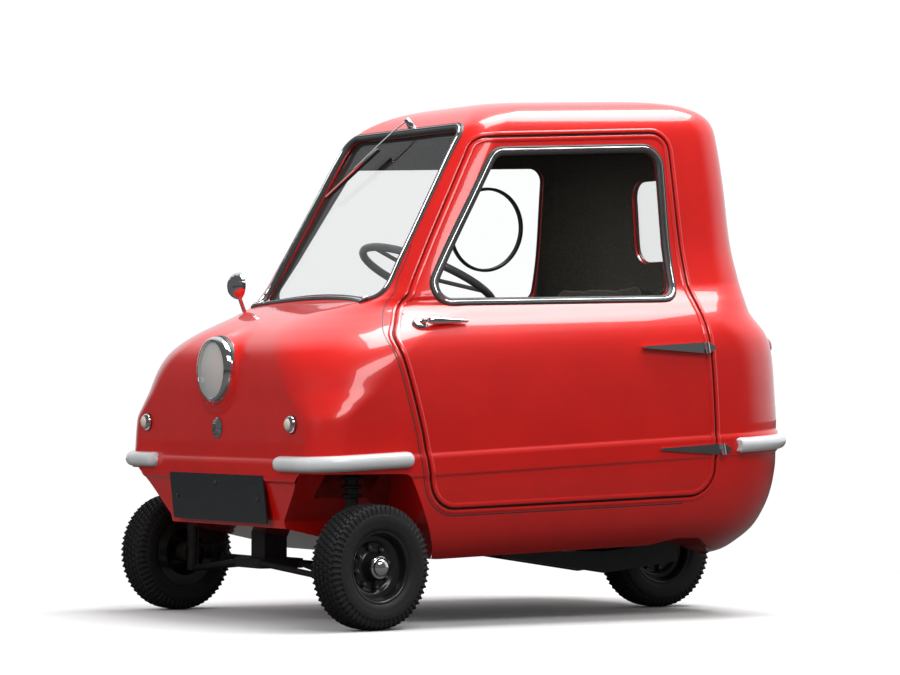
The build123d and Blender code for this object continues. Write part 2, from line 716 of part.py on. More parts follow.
# Glass
with BuildPart() as windscreen:
    add(screen_block(-SEAT_CLEARANCE, GLASS_DEPTH, GLASS_THICKNESS))
with BuildPart() as rear_window:
    add(rear_window_block(-SEAT_CLEARANCE, GLASS_DEPTH, GLASS_THICKNESS))
with BuildPart() as door_glass:
    add(side_window_block(side_window_shares, -SEAT_CLEARANCE, GLASS_DEPTH, GLASS_THICKNESS))
right_glass = side_window_block(right_window_shares, -SEAT_CLEARANCE, GLASS_DEPTH, GLASS_THICKNESS)
with BuildPart() as right_window:
    add(mirror(right_glass, about=Plane.YZ, mode=Mode.PRIVATE))

# Headlamp on its cowl: bezel ring with a back plate, and the domed lens in it
with BuildPart() as headlamp_bezel:
    with BuildSketch(Plane.YZ):
        with BuildLine():
            Polyline(
                (HEADLAMP_SEAT_Y, HEADLAMP_Z),
                (HEADLAMP_SEAT_Y, HEADLAMP_Z + HEADLAMP_RADIUS),
                (HEADLAMP_FRONT_Y, HEADLAMP_Z + HEADLAMP_RADIUS - BEZEL_TAPER),
                (HEADLAMP_FRONT_Y, HEADLAMP_Z + LENS_RADIUS + LENS_FIT),
                (HEADLAMP_SEAT_Y - BEZEL_BACK, HEADLAMP_Z + LENS_RADIUS + LENS_FIT),
                (HEADLAMP_SEAT_Y - BEZEL_BACK, HEADLAMP_Z),
                close=True,
            )
        make_face()
    revolve(axis=Axis((0, 0, HEADLAMP_Z), (0, 1, 0)))
with BuildPart() as headlamp_lens:
    with BuildSketch(Plane.YZ):
        with BuildLine():
            lens_back = HEADLAMP_SEAT_Y - BEZEL_BACK
            lens_edge = HEADLAMP_FRONT_Y + LENS_SINK
            lens_top = HEADLAMP_Z + LENS_RADIUS
            Polyline((lens_edge - LENS_DOME, HEADLAMP_Z), (lens_back, HEADLAMP_Z), (lens_back, lens_top), (lens_edge, lens_top))
            TangentArc((lens_edge - LENS_DOME, HEADLAMP_Z), (lens_edge, lens_top), tangent=(0, 1))
        make_face()
    revolve(axis=Axis((0, 0, HEADLAMP_Z), (0, 1, 0)))


def lamp_disc(x, z, front_y, radius, dome):
    # Round trim piece that stands on the front or rear skin, its dome outwards
    out = -1 if front_y < 0 else 1
    with BuildPart() as disc:
        with BuildSketch(Plane.XZ.offset(-front_y)):
            with Locations((x, z)):
                Circle(radius)
        extrude(amount=out * TRIM_REACH)
        fillet(disc.faces().sort_by(Axis.Y)[0 if out < 0 else -1].edges(), dome)
        add(shell_block, mode=Mode.SUBTRACT)
    return max(disc.part.solids(), key=lambda solid: out * solid.center().Y)


# Lock disc under the headlamp, side lamps and tail lamps
with BuildPart() as lock_disc:
    add(lamp_disc(0, LOCK_Z, FRONT_SKIN_Y - LOCK_PROUD, LOCK_RADIUS, LOCK_PROUD / 2))
with BuildPart() as side_lamps:
    left_lamp = lamp_disc(SIDE_LAMP_X, SIDE_LAMP_Z, FRONT_SKIN_Y - SIDE_LAMP_PROUD, SIDE_LAMP_RADIUS, SIDE_LAMP_DOME)
    add(left_lamp)
    add(mirror(left_lamp, about=Plane.YZ, mode=Mode.PRIVATE))
with BuildPart() as tail_lamps:
    left_tail = lamp_disc(TAIL_LAMP_X, TAIL_LAMP_Z, TAIL_LAMP_Y, TAIL_LAMP_RADIUS, TAIL_LAMP_DOME)
    add(left_tail)
    add(mirror(left_tail, about=Plane.YZ, mode=Mode.PRIVATE))


def bumper_band(level, inner_x, side_y):
    # Both bumperettes of one end: a band round the skin, kept between its ends
    row = shell_section_shares[1]
    grown = draw_section(row, -BUMPER_PROUD)
    core = draw_section(row, SEAT_CLEARANCE)
    lift = level - row[0] * ROOF_HEIGHT - BUMPER_HEIGHT / 2
    out = -1 if side_y < 0 else 1
    with BuildPart() as band:
        extrude(to_extrude=grown, amount=BUMPER_HEIGHT)
        by_height = band.faces().sort_by(Axis.Z)
        fillet(by_height[0].edges() + by_height[-1].edges(), BUMPER_ROUND)
        extrude(to_extrude=core, amount=BUMPER_HEIGHT, mode=Mode.SUBTRACT)
    moved = band.part.moved(Location(raked_plane(0).z_dir * lift))
    with BuildPart() as pair:
        add(moved)
        add(shell_block, mode=Mode.SUBTRACT)
        add(tub_block, mode=Mode.SUBTRACT)
        with BuildSketch(Plane.XY):
            for side in (-1, 1):
                with Locations((side * (inner_x + HALF_WIDTH), side_y + out * HALF_LENGTH)):
                    Rectangle(2 * HALF_WIDTH, 2 * HALF_LENGTH)
        extrude(amount=ROOF_HEIGHT, mode=Mode.INTERSECT)
    return pair.part


with BuildPart() as front_bumperettes:
    add(bumper_band(FRONT_BUMPER_LEVEL, BUMPER_INNER_X, FRONT_BUMPER_END_Y))
with BuildPart() as rear_bumperettes:
    add(bumper_band(REAR_BUMPER_LEVEL, BUMPER_INNER_X, REAR_BUMPER_END_Y))


def number_plate(centre, lean, width, height):
    # Blank plate on two stand-off brackets that reach back to the skin
    out = Vector(0, -cos(lean), -sin(lean)) if centre[1] < 0 else Vector(0, cos(lean), -sin(lean))
    face = Plane(origin=centre, x_dir=(1, 0, 0), z_dir=out)
    with BuildPart() as brackets:
        with BuildSketch(face.offset(-PLATE_THICKNESS)):
            with GridLocations(width * PLATE_BRACKET_SHARE, height, 2, 1):
                Rectangle(PLATE_BRACKET_WIDTH, height * PLATE_BRACKET_SHARE)
        extrude(amount=-PLATE_REACH)
        add(tub_block, mode=Mode.SUBTRACT)
        add(shell_block, mode=Mode.SUBTRACT)
    near = [solid for solid in brackets.part.solids() if solid.distance_to(Vertex(*centre)) < width]
    with BuildPart() as plate:
        with BuildSketch(face):
            RectangleRounded(width, height, PLATE_ROUND)
        extrude(amount=-PLATE_THICKNESS)
        for solid in near:
            if solid.distance_to(plate.part) < SEAT_CLEARANCE:
                add(solid)
    return plate.part


PLATE_LEAN = atan2(PLATE_BOTTOM_Y - PLATE_TOP_Y, PLATE_HEIGHT)
front_plate_centre = (0, (PLATE_TOP_Y + PLATE_BOTTOM_Y) / 2, PLATE_Z)
with BuildPart() as front_plate:
    add(number_plate(front_plate_centre, PLATE_LEAN, PLATE_WIDTH, PLATE_HEIGHT))
with BuildPart() as rear_plate:
    add(number_plate((0, REAR_PLATE_Y, REAR_PLATE_Z), 0, PLATE_WIDTH, PLATE_HEIGHT))

# Door hinges: the axis leans with the shut line, just outside the skin
hinge_low = Vector(HINGE_X, HINGE_LOW_Y, HINGE_LOW_Z)
hinge_high = Vector(HINGE_X, HINGE_HIGH_Y, HINGE_HIGH_Z)
hinge_axis = (hinge_high - hinge_low).normalized()


def hinge_plane(centre):
    return Plane(origin=centre, x_dir=(1, 0, 0), z_dir=hinge_axis)


def spear(plane, reach, level):
    # Slim leaf that runs from the knuckle along the skin and narrows to its tip
    near = (KNUCKLE_RADIUS + KNUCKLE_GAP) * (1 if reach > 0 else -1)
    half = KNUCKLE_LENGTH / 2 - KNUCKLE_GAP / 2
    lean = hinge_axis.Y / hinge_axis.Z
    leaf_plane = Plane(origin=plane.origin, x_dir=(0, 1, 0), z_dir=(1, 0, 0))
    with BuildPart() as leaf:
        with BuildSketch(leaf_plane.offset(SPEAR_PROUD - (HINGE_X - HALF_WIDTH))):
            with BuildLine():
                Polyline(
                    (level * KNUCKLE_GAP / 2 * lean, level * KNUCKLE_GAP / 2),
                    (level * half * lean, level * half),
                    (near, level * half),
                    (reach, level * SPEAR_TIP),
                    (reach, -level * SPEAR_TIP),
                    (near, -level * half),
                    (near, level * KNUCKLE_GAP / 2),
                    close=True,
                )
            make_face()
        extrude(amount=-TRIM_REACH)
    return leaf.part


def hinge_half(centre, reach, level, bore, pin):
    plane = hinge_plane(centre)
    with BuildPart() as half:
        add(spear(plane, reach, level))
        with BuildSketch(plane.offset(level * KNUCKLE_GAP / 2)):
            Circle(KNUCKLE_RADIUS)
        extrude(amount=level * (KNUCKLE_LENGTH - KNUCKLE_GAP) / 2)
        add(shell_block, mode=Mode.SUBTRACT)
        add(tub_block, mode=Mode.SUBTRACT)
        if bore:
            with BuildSketch(plane.offset(level * KNUCKLE_GAP / 4)):
                Circle(HINGE_PIN_RADIUS + RUNNING_CLEARANCE)
            extrude(amount=level * (KNUCKLE_LENGTH - KNUCKLE_GAP) / 2 - level * KNUCKLE_GAP, mode=Mode.SUBTRACT)
        if pin:
            with BuildSketch(plane.offset(level * KNUCKLE_GAP)):
                Circle(HINGE_PIN_RADIUS)
            extrude(amount=-level * (KNUCKLE_LENGTH / 2 - KNUCKLE_GAP))
    return max(half.part.solids(), key=lambda solid: solid.center().X)


with BuildPart() as door_hinges:
    for centre, reach in ((hinge_low, LOW_SPEAR), (hinge_high, HIGH_SPEAR)):
        add(hinge_half(centre, -reach, 1, True, False))
with BuildPart() as hinge_bases:
    for centre in (hinge_low, hinge_high):
        add(hinge_half(centre, BASE_SPEAR, -1, False, True))

# Door handle: a teardrop on a post over the door's shoulder
handle_length = HANDLE_REAR_Y - HANDLE_FRONT_Y
with BuildPart() as handle_blank:
    with BuildSketch(Plane(origin=(HANDLE_X, HANDLE_FRONT_Y, HANDLE_Z), x_dir=(0, 1, 0), z_dir=(1, 0, 0))):
        with BuildLine():
            Polyline(*[(u * handle_length, v * HANDLE_RADIUS) for u, v in handle_shares], close=True)
        make_face()
    revolve(axis=Axis((HANDLE_X, HANDLE_FRONT_Y, HANDLE_Z), (0, 1, 0)))
    with BuildSketch(Plane(origin=(HANDLE_X, HANDLE_FRONT_Y + 2 * HANDLE_RADIUS, HANDLE_Z), z_dir=(-1, 0, -1))):
        Circle(HANDLE_POST_RADIUS)
    extrude(amount=TRIM_REACH)
    add(shell_block, mode=Mode.SUBTRACT)
with BuildPart() as door_handle:
    add(max(handle_blank.part.solids(), key=lambda solid: solid.center().X))

# Mirror on the right shoulder: its head narrows to the front, and its stem runs down to the foot
mirror_head = Vector(-MIRROR_X, MIRROR_Y, MIRROR_Z)
stem_top = mirror_head - Vector(0, MIRROR_DEPTH * MIRROR_STEM_SHARE, 0)
stem_foot = Vector(-MIRROR_X, MIRROR_FOOT_Y, MIRROR_FOOT_Z - MIRROR_RADIUS)
with BuildPart() as mirror_blank:
    with BuildSketch(Plane(origin=mirror_head, x_dir=(0, 1, 0), z_dir=(1, 0, 0))):
        with BuildLine():
            Polyline(*[(-u * MIRROR_DEPTH, v * MIRROR_RADIUS) for u, v in mirror_shares], close=True)
        make_face()
    revolve(axis=Axis(mirror_head, (0, 1, 0)))
    with BuildSketch(Plane(origin=stem_top, z_dir=stem_foot - stem_top)):
        Circle(MIRROR_STEM_RADIUS)
    extrude(amount=(stem_foot - stem_top).length)
    add(shell_block, mode=Mode.SUBTRACT)
with BuildPart() as wing_mirror:
    add(max(mirror_blank.part.solids(), key=lambda solid: solid.volume))

# Wiper: pivot on the roof's brow, arm and blade over the glass
wiper_lift = screen_plane.z_dir * WIPER_GAP
with BuildPart() as wiper_blank:
    pivot_low = Vector(0, screen_wall_y(WIPER_PIVOT_Z), WIPER_PIVOT_Z)
    pivot = pivot_low + wiper_lift
    tip = Vector(WIPER_TIP_X, screen_wall_y(WIPER_TIP_Z), WIPER_TIP_Z) + wiper_lift
    root = pivot + (tip - pivot) * WIPER_ROOT_SHARE
    arm_dir = (tip - pivot).normalized()
    with BuildSketch(Plane(origin=pivot, z_dir=arm_dir)):
        Circle(WIPER_ARM_RADIUS)
    extrude(amount=(root - pivot).length + WIPER_ARM_RADIUS)
    with BuildSketch(Plane(origin=root - wiper_lift / 2, x_dir=screen_plane.z_dir, z_dir=arm_dir)):
        Rectangle(WIPER_GAP, WIPER_BLADE_WIDTH)
    extrude(amount=(tip - root).length)
    with BuildSketch(Plane(origin=pivot + wiper_lift / 2, z_dir=-screen_plane.z_dir)):
        Circle(WIPER_PIVOT_RADIUS)
    extrude(amount=TRIM_REACH)
    add(shell_block, mode=Mode.SUBTRACT)
with BuildPart() as wiper:
    add(max(wiper_blank.part.solids(), key=lambda solid: solid.volume))


def axle_plane(centre, out):
    # Profile plane of a wheel: u runs out along the axle, v is the radius
    return Plane(origin=centre, x_dir=out, z_dir=out.cross(Vector(0, 0, 1)))


def make_tyre(centre, out):
    half = TYRE_WIDTH / 2
    with BuildPart() as tyre:
        with BuildSketch(axle_plane(centre, out)):
            with BuildLine():
                FilletPolyline(
                    (-RIM_HALF_WIDTH, RIM_RADIUS + SEAT_CLEARANCE),
                    (-half, RIM_RADIUS + TYRE_SHOULDER),
                    (-half, TYRE_RADIUS - TYRE_SHOULDER),
                    (-TREAD_HALF_WIDTH, TYRE_RADIUS),
                    (TREAD_HALF_WIDTH, TYRE_RADIUS),
                    (half, TYRE_RADIUS - TYRE_SHOULDER),
                    (half, RIM_RADIUS + TYRE_SHOULDER),
                    (RIM_HALF_WIDTH, RIM_RADIUS + SEAT_CLEARANCE),
                    radius=[TYRE_ROUND] * 2 + [TYRE_ROUND / 2] * 2 + [TYRE_ROUND] * 2,
                )
                Line((RIM_HALF_WIDTH, RIM_RADIUS + SEAT_CLEARANCE), (RIM_HALF_WIDTH, BEAD_RADIUS))
                Line((RIM_HALF_WIDTH, BEAD_RADIUS), (-RIM_HALF_WIDTH, BEAD_RADIUS))
                Line((-RIM_HALF_WIDTH, BEAD_RADIUS), (-RIM_HALF_WIDTH, RIM_RADIUS + SEAT_CLEARANCE))
            make_face()
        revolve(axis=Axis(centre, out))
    return tyre.part


def make_rim(centre, out):
    # Well, flanges, dished disc, hub with its bore, nuts and the domed cap
    plane = axle_plane(centre, out)
    well = BEAD_RADIUS - SEAT_CLEARANCE
    with BuildPart() as rim:
        with BuildSketch(plane):
            with BuildLine():
                Polyline(
                    (-RIM_HALF_WIDTH - RIM_THICKNESS, well),
                    (-RIM_HALF_WIDTH - RIM_THICKNESS, RIM_RADIUS),
                    (-RIM_HALF_WIDTH - SEAT_CLEARANCE, RIM_RADIUS),
                    (-RIM_HALF_WIDTH - SEAT_CLEARANCE, well),
                    (RIM_HALF_WIDTH + SEAT_CLEARANCE, well),
                    (RIM_HALF_WIDTH + SEAT_CLEARANCE, RIM_RADIUS),
                    (RIM_HALF_WIDTH + RIM_THICKNESS, RIM_RADIUS),
                    (RIM_HALF_WIDTH + RIM_THICKNESS, well - RIM_THICKNESS),
                    (DISC_U + DISC_DISH + RIM_THICKNESS, well - RIM_THICKNESS),
                    (DISC_U + DISC_DISH, DISC_RADIUS),
                    (DISC_U, HUB_RADIUS + DISC_DISH),
                    (DISC_U, HUB_RADIUS),
                    (HUB_OUTER_U, HUB_RADIUS),
                    (HUB_OUTER_U, AXLE_PIN_RADIUS + RUNNING_CLEARANCE),
                    (HUB_INNER_U, AXLE_PIN_RADIUS + RUNNING_CLEARANCE),
                    (HUB_INNER_U, HUB_RADIUS),
                    (DISC_U - RIM_THICKNESS, HUB_RADIUS),
                    (DISC_U - RIM_THICKNESS, HUB_RADIUS + DISC_DISH),
                    (DISC_U + DISC_DISH - RIM_THICKNESS, DISC_RADIUS),
                    (DISC_U + DISC_DISH, well - RIM_THICKNESS),
                    (-RIM_HALF_WIDTH - RIM_THICKNESS, well - RIM_THICKNESS),
                    close=True,
                )
            make_face()
        revolve(axis=Axis(centre, out))
        face = Plane(origin=centre, x_dir=Vector(0, 0, 1), z_dir=out)
        with BuildSketch(face.offset(DISC_U - RIM_THICKNESS / 2)):
            with PolarLocations(NUT_CIRCLE_RADIUS, NUT_COUNT):
                RegularPolygon(NUT_RADIUS, NUT_SIDES)
        extrude(amount=NUT_HEIGHT)
    return rim.part


def make_cap(centre, out):
    with BuildPart() as cap:
        with BuildSketch(axle_plane(centre, out)):
            with BuildLine():
                Line((HUB_OUTER_U, 0), (HUB_OUTER_U + CAP_HEIGHT, 0))
                RadiusArc((HUB_OUTER_U + CAP_HEIGHT, 0), (HUB_OUTER_U, CAP_RADIUS), -CAP_RADIUS * CAP_ARC_SHARE)
                Line((HUB_OUTER_U, CAP_RADIUS), (HUB_OUTER_U, 0))
            make_face()
        revolve(axis=Axis(centre, out))
    return cap.part


# Kingpins, and the wheels' axles turned to the rest angle of the steering
KINGPIN_X = FRONT_TRACK / 2 - KINGPIN_OFFSET * cos(STEER)
steer_dir = Vector(cos(STEER), sin(STEER), 0)
left_kingpin = Vector(KINGPIN_X, FRONT_AXLE_Y, AXLE_HEIGHT)
right_kingpin = Vector(-KINGPIN_X, FRONT_AXLE_Y, AXLE_HEIGHT)
left_centre = left_kingpin + steer_dir * KINGPIN_OFFSET
right_centre = right_kingpin - steer_dir * KINGPIN_OFFSET
rear_centre = Vector(0, REAR_AXLE_Y, AXLE_HEIGHT)
wheels = {
    "left": (left_centre, steer_dir),
    "right": (right_centre, -steer_dir),
    "rear": (rear_centre, Vector(1, 0, 0)),
}


def make_knuckle(kingpin, out):
    # Barrel round the kingpin, stub axle outwards and steering arm to the rear
    arm_dir = Vector(0, 0, 1).cross(steer_dir)
    with BuildPart() as knuckle:
        with BuildSketch(Plane.XY.offset(KINGPIN_BOTTOM)):
            with Locations((kingpin.X, kingpin.Y)):
                Circle(KINGPIN_RADIUS)
        extrude(amount=KINGPIN_TOP - KINGPIN_BOTTOM)
        with BuildSketch(Plane(origin=kingpin, z_dir=out)):
            Circle(AXLE_PIN_RADIUS)
        extrude(amount=KINGPIN_OFFSET + HUB_OUTER_U - SEAT_CLEARANCE)
        with BuildSketch(Plane(origin=kingpin, z_dir=out)):
            Circle(HUB_RADIUS)
        extrude(amount=KINGPIN_OFFSET + HUB_INNER_U - SEAT_CLEARANCE)
        arm_origin = kingpin + Vector(0, 0, ARM_HEIGHT - AXLE_HEIGHT)
        with BuildSketch(Plane(origin=arm_origin, x_dir=arm_dir, z_dir=(0, 0, 1))):
            SlotCenterToCenter(ARM_LENGTH * 2, ARM_WIDTH)
            Rectangle(ARM_LENGTH * 3, ARM_WIDTH * 2, align=(Align.MAX, Align.CENTER), mode=Mode.SUBTRACT)
        extrude(amount=ARM_THICKNESS)
        with BuildSketch(Plane(origin=arm_origin + arm_dir * ARM_LENGTH, z_dir=(0, 0, 1))):
            Circle(BALL_RADIUS + RUNNING_CLEARANCE)
        extrude(amount=ARM_THICKNESS, mode=Mode.SUBTRACT)
        with BuildSketch(Plane.XY.offset(KINGPIN_TOP)):
            with Locations((kingpin.X, kingpin.Y)):
                Circle(LEG_ROD_RADIUS + RUNNING_CLEARANCE)
        extrude(amount=-LEG_ROD_DEPTH, mode=Mode.SUBTRACT)
    return knuckle.part


arm_dir = Vector(0, 0, 1).cross(steer_dir)
ball_left = left_kingpin + arm_dir * ARM_LENGTH
ball_right = right_kingpin + arm_dir * ARM_LENGTH
ROD_Z = ARM_HEIGHT - TRACK_ROD_DROP
with BuildPart() as track_rod:
    with BuildSketch(Plane(origin=(ball_right.X, ball_right.Y, ROD_Z), z_dir=(1, 0, 0))):
        Circle(TRACK_ROD_RADIUS)
    extrude(amount=ball_left.X - ball_right.X)
    for ball, radius in ((ball_left, BALL_RADIUS), (ball_right, BALL_RADIUS - OPEN_END_PLAY)):
        with BuildSketch(Plane.XY.offset(ROD_Z - BALL_BOSS)):
            with Locations((ball.X, ball.Y)):
                Circle(BALL_BOSS_RADIUS)
        extrude(amount=2 * BALL_BOSS)
        with BuildSketch(Plane.XY.offset(ROD_Z)):
            with Locations((ball.X, ball.Y)):
                Circle(radius)
        extrude(amount=ARM_HEIGHT + ARM_THICKNESS - ROD_Z)

# Sprung legs from the wheel towers down to the kingpins
with BuildPart() as front_legs:
    for side in (-1, 1):
        with BuildSketch(Plane.XY.offset(KINGPIN_TOP + SEAT_CLEARANCE)):
            with Locations((side * KINGPIN_X, FRONT_AXLE_Y)):
                Circle(LEG_RADIUS)
        extrude(amount=TOWER_TOP - SEAT_CLEARANCE - KINGPIN_TOP - SEAT_CLEARANCE)
        with BuildSketch(Plane.XY.offset(KINGPIN_TOP + SEAT_CLEARANCE)):
            with Locations((side * KINGPIN_X, FRONT_AXLE_Y)):
                Circle(LEG_ROD_RADIUS)
        extrude(amount=-LEG_ROD_DEPTH + 2 * SEAT_CLEARANCE)
with BuildPart() as front_springs:
    pitch = (SPRING_TOP - SPRING_BOTTOM) / SPRING_TURNS
    for side in (-1, 1):
        for turn in range(SPRING_TURNS):
            with Locations((side * KINGPIN_X, FRONT_AXLE_Y, SPRING_BOTTOM + turn * pitch)):
                Torus(LEG_RADIUS + SPRING_WIRE + SEAT_CLEARANCE, SPRING_WIRE)

# Cross member under the prow, with the wishbones out to the foot of each kingpin
with BuildPart() as crossmember_blank:
    with BuildSketch(Plane.XY.offset(CROSS_BOTTOM)):
        with Locations((0, FRONT_AXLE_Y)):
            RectangleRounded(2 * CROSS_HALF_WIDTH, 2 * CROSS_HALF_LENGTH, CROSS_THICKNESS / 2)
    extrude(amount=CROSS_THICKNESS)
    with BuildSketch(Plane.XY.offset(CROSS_BOTTOM)):
        with Locations((0, FRONT_AXLE_Y)):
            Rectangle(CROSS_HALF_WIDTH, CROSS_HALF_LENGTH)
    extrude(amount=PROW_BOTTOM)
    add(tub_block, mode=Mode.SUBTRACT)
with BuildPart() as front_crossmember:
    add(min(crossmember_blank.part.solids(), key=lambda solid: solid.center().Z))

with BuildPart() as wishbones:
    for side in (-1, 1):
        foot = Vector(side * KINGPIN_X, FRONT_AXLE_Y, KINGPIN_BOTTOM - SEAT_CLEARANCE - WISHBONE_RADIUS)
        with BuildSketch(Plane.XY.offset(foot.Z - WISHBONE_RADIUS)):
            with Locations((foot.X, foot.Y)):
                Circle(KINGPIN_RADIUS)
        extrude(amount=2 * WISHBONE_RADIUS)
        for spread in (-1, 1):
            inner = Vector(
                side * (CROSS_HALF_WIDTH + SEAT_CLEARANCE),
                FRONT_AXLE_Y + spread * WISHBONE_SPREAD,
                CROSS_BOTTOM + CROSS_THICKNESS / 2,
            )
            outer = foot - Vector(0, 0, WISHBONE_DROP)
            with BuildSketch(Plane(origin=outer, z_dir=inner - outer)):
                Circle(WISHBONE_RADIUS)
            extrude(amount=(inner - outer).length + WISHBONE_RADIUS)
    with BuildSketch(Plane.XZ.offset(-FRONT_AXLE_Y)):
        with Locations((0, CROSS_BOTTOM + CROSS_THICKNESS / 2)):
            Rectangle(2 * (CROSS_HALF_WIDTH + SEAT_CLEARANCE), 2 * HALF_WIDTH)
    extrude(amount=HALF_LENGTH, both=True, mode=Mode.SUBTRACT)

# Swing arm, its axle, and the rear spring unit up into the wheel housing
with BuildPart() as swing_arm:
    with BuildSketch(Plane.YZ.offset(SWING_INNER_X)):
        with BuildLine():
            FilletPolyline(
                (SWING_TIP_Y, SWING_TIP_Z),
                (SWING_LOW_Y, SWING_LOW_Z),
                (REAR_AXLE_Y + SWING_DEPTH / 2, AXLE_HEIGHT - SWING_DEPTH / 2),
                (REAR_AXLE_Y + SWING_DEPTH / 2, AXLE_HEIGHT + SWING_DEPTH / 2),
                (SWING_LOW_Y, SWING_LOW_Z + SWING_DEPTH),
                (SWING_TIP_Y, SWING_TIP_Z + SWING_TIP_HEIGHT),
                radius=SWING_ROUND,
                close=True,
            )
        make_face()
    extrude(amount=SWING_PLATE)
    mirror(about=Plane.YZ)
    with BuildSketch(Plane.XY.offset(SWING_PIVOT_Z - SWING_DEPTH)):
        with Locations((0, SWING_PIVOT_Y + SWING_DEPTH)):
            Rectangle(2 * SWING_INNER_X, SWING_DEPTH)
    extrude(amount=SWING_DEPTH / 2)
    with BuildSketch(Plane.YZ):
        with Locations((REAR_AXLE_Y, AXLE_HEIGHT)):
            Circle(AXLE_PIN_RADIUS)
    extrude(amount=SWING_INNER_X + SWING_PLATE, both=True)
    add(tub_block, mode=Mode.SUBTRACT)
with BuildPart() as bracket_blank:
    with BuildSketch(Plane.XY.offset(SWING_PIVOT_Z - BRACKET_DROP)):
        with Locations((0, SWING_PIVOT_Y)):
            Rectangle(2 * SWING_INNER_X - 2 * SEAT_CLEARANCE, SWING_DEPTH)
    extrude(amount=BRACKET_DROP + WALL)
    add(tub_block, mode=Mode.SUBTRACT)
    add(swing_arm.part, mode=Mode.SUBTRACT)
with BuildPart() as pivot_bracket:
    add(min(bracket_blank.part.solids(), key=lambda solid: solid.center().Z))

# Engine block beside the rear wheel housing, on the floor
with BuildPart() as engine_blank:
    with BuildSketch(Plane.XY.offset(ENGINE_BASE)):
        with Locations((ENGINE_X, ENGINE_Y)):
            RectangleRounded(ENGINE_WIDTH, ENGINE_LENGTH, SEAT_SOFTNESS)
    extrude(amount=ENGINE_HEIGHT)
    add(tub_skin.part, mode=Mode.SUBTRACT)
with BuildPart() as engine:
    add(max(engine_blank.part.solids(), key=lambda solid: solid.volume))

# Seat on its box, with the back leaning on the rear bulkhead
with BuildPart() as box_blank:
    with BuildSketch(Plane.XY.offset(SEAT_BASE - SEAT_CLEARANCE)):
        with Locations((0, (SEAT_FRONT_Y + SEAT_REAR_Y) / 2)):
            Rectangle(2 * BOX_HALF_WIDTH, SEAT_REAR_Y - SEAT_FRONT_Y)
    extrude(amount=-WALL)
    with BuildSketch(Plane.XY.offset(SEAT_BASE - WALL)):
        with Locations((0, SEAT_FRONT_Y + WALL / 2)):
            Rectangle(2 * BOX_HALF_WIDTH, WALL)
        for side in (-1, 1):
            with Locations((side * (BOX_HALF_WIDTH - WALL / 2), (SEAT_FRONT_Y + SEAT_REAR_Y) / 2)):
                Rectangle(WALL, SEAT_REAR_Y - SEAT_FRONT_Y)
    extrude(amount=FLOOR_FRONT - SEAT_BASE)
    add(tub_skin.part, mode=Mode.SUBTRACT)
with BuildPart() as seat_box:
    add(max(box_blank.part.solids(), key=lambda solid: solid.center().Z))
with BuildPart() as seat_cushion:
    with BuildSketch(Plane.XY.offset(SEAT_BASE)):
        with Locations((0, (SEAT_FRONT_Y + SEAT_REAR_Y) / 2)):
            RectangleRounded(2 * SEAT_HALF_WIDTH, SEAT_REAR_Y - SEAT_FRONT_Y, SEAT_SOFTNESS)
    extrude(amount=SEAT_TOP - SEAT_BASE)
    fillet(seat_cushion.faces().sort_by(Axis.Z)[-1].edges(), SEAT_SOFTNESS / 2)
back_plane = Plane(
    origin=(0, SEAT_REAR_Y, SEAT_TOP - SEAT_SOFTNESS),
    x_dir=(1, 0, 0),
    z_dir=(0, -cos(radians(BACK_LEAN_DEG)), sin(radians(BACK_LEAN_DEG))),
)
with BuildPart() as seat_back:
    with BuildSketch(back_plane):
        with Locations((0, (BACK_TOP - SEAT_TOP) / 2)):
            RectangleRounded(2 * SEAT_HALF_WIDTH, BACK_TOP - SEAT_TOP, 2 * SEAT_SOFTNESS)
    extrude(amount=BACK_THICKNESS)
    fillet(seat_back.faces().sort_by(Axis.Y)[0].edges(), SEAT_SOFTNESS / 2)
    split(bisect_by=Plane.XY.offset(SEAT_TOP + SEAT_CLEARANCE), keep=Keep.TOP)

# Steering wheel and its column
tilt = radians(STEERING_TILT_DEG)
steering_up = Vector(0, sin(tilt), cos(tilt))
steering_centre = Vector(0, STEERING_CENTRE_Y, STEERING_CENTRE_Z)
steering_plane = Plane(origin=steering_centre, x_dir=(1, 0, 0), z_dir=steering_up)
with BuildPart(steering_plane) as steering_wheel:
    Torus(STEERING_RADIUS, STEERING_RIM_RADIUS)
    with Locations((0, 0, -STEERING_HUB_LENGTH / 2)):
        Cylinder(STEERING_HUB_RADIUS, STEERING_HUB_LENGTH)
    with PolarLocations(0, SPOKE_COUNT, start_angle=-90):
        Cylinder(SPOKE_RADIUS, STEERING_RADIUS, rotation=(0, 90, 0), align=(Align.CENTER, Align.CENTER, Align.MIN))
    with Locations((0, 0, -STEERING_HUB_LENGTH)):
        Cylinder(
            COLUMN_PIN_RADIUS + RUNNING_CLEARANCE,
            STEERING_HUB_LENGTH / 2,
            align=(Align.CENTER, Align.CENTER, Align.MIN),
            mode=Mode.SUBTRACT,
        )
column_top = steering_plane.offset(-STEERING_HUB_LENGTH - SEAT_CLEARANCE)
with BuildPart() as column_blank:
    with BuildSketch(column_top):
        Circle(COLUMN_RADIUS)
    extrude(amount=-COLUMN_LENGTH)
    with BuildSketch(column_top):
        Circle(COLUMN_PIN_RADIUS)
    extrude(amount=STEERING_HUB_LENGTH / 2 - SEAT_CLEARANCE)
    add(tub_skin.part, mode=Mode.SUBTRACT)
with BuildPart() as steering_column:
    add(max(column_blank.part.solids(), key=lambda solid: solid.center().Z))

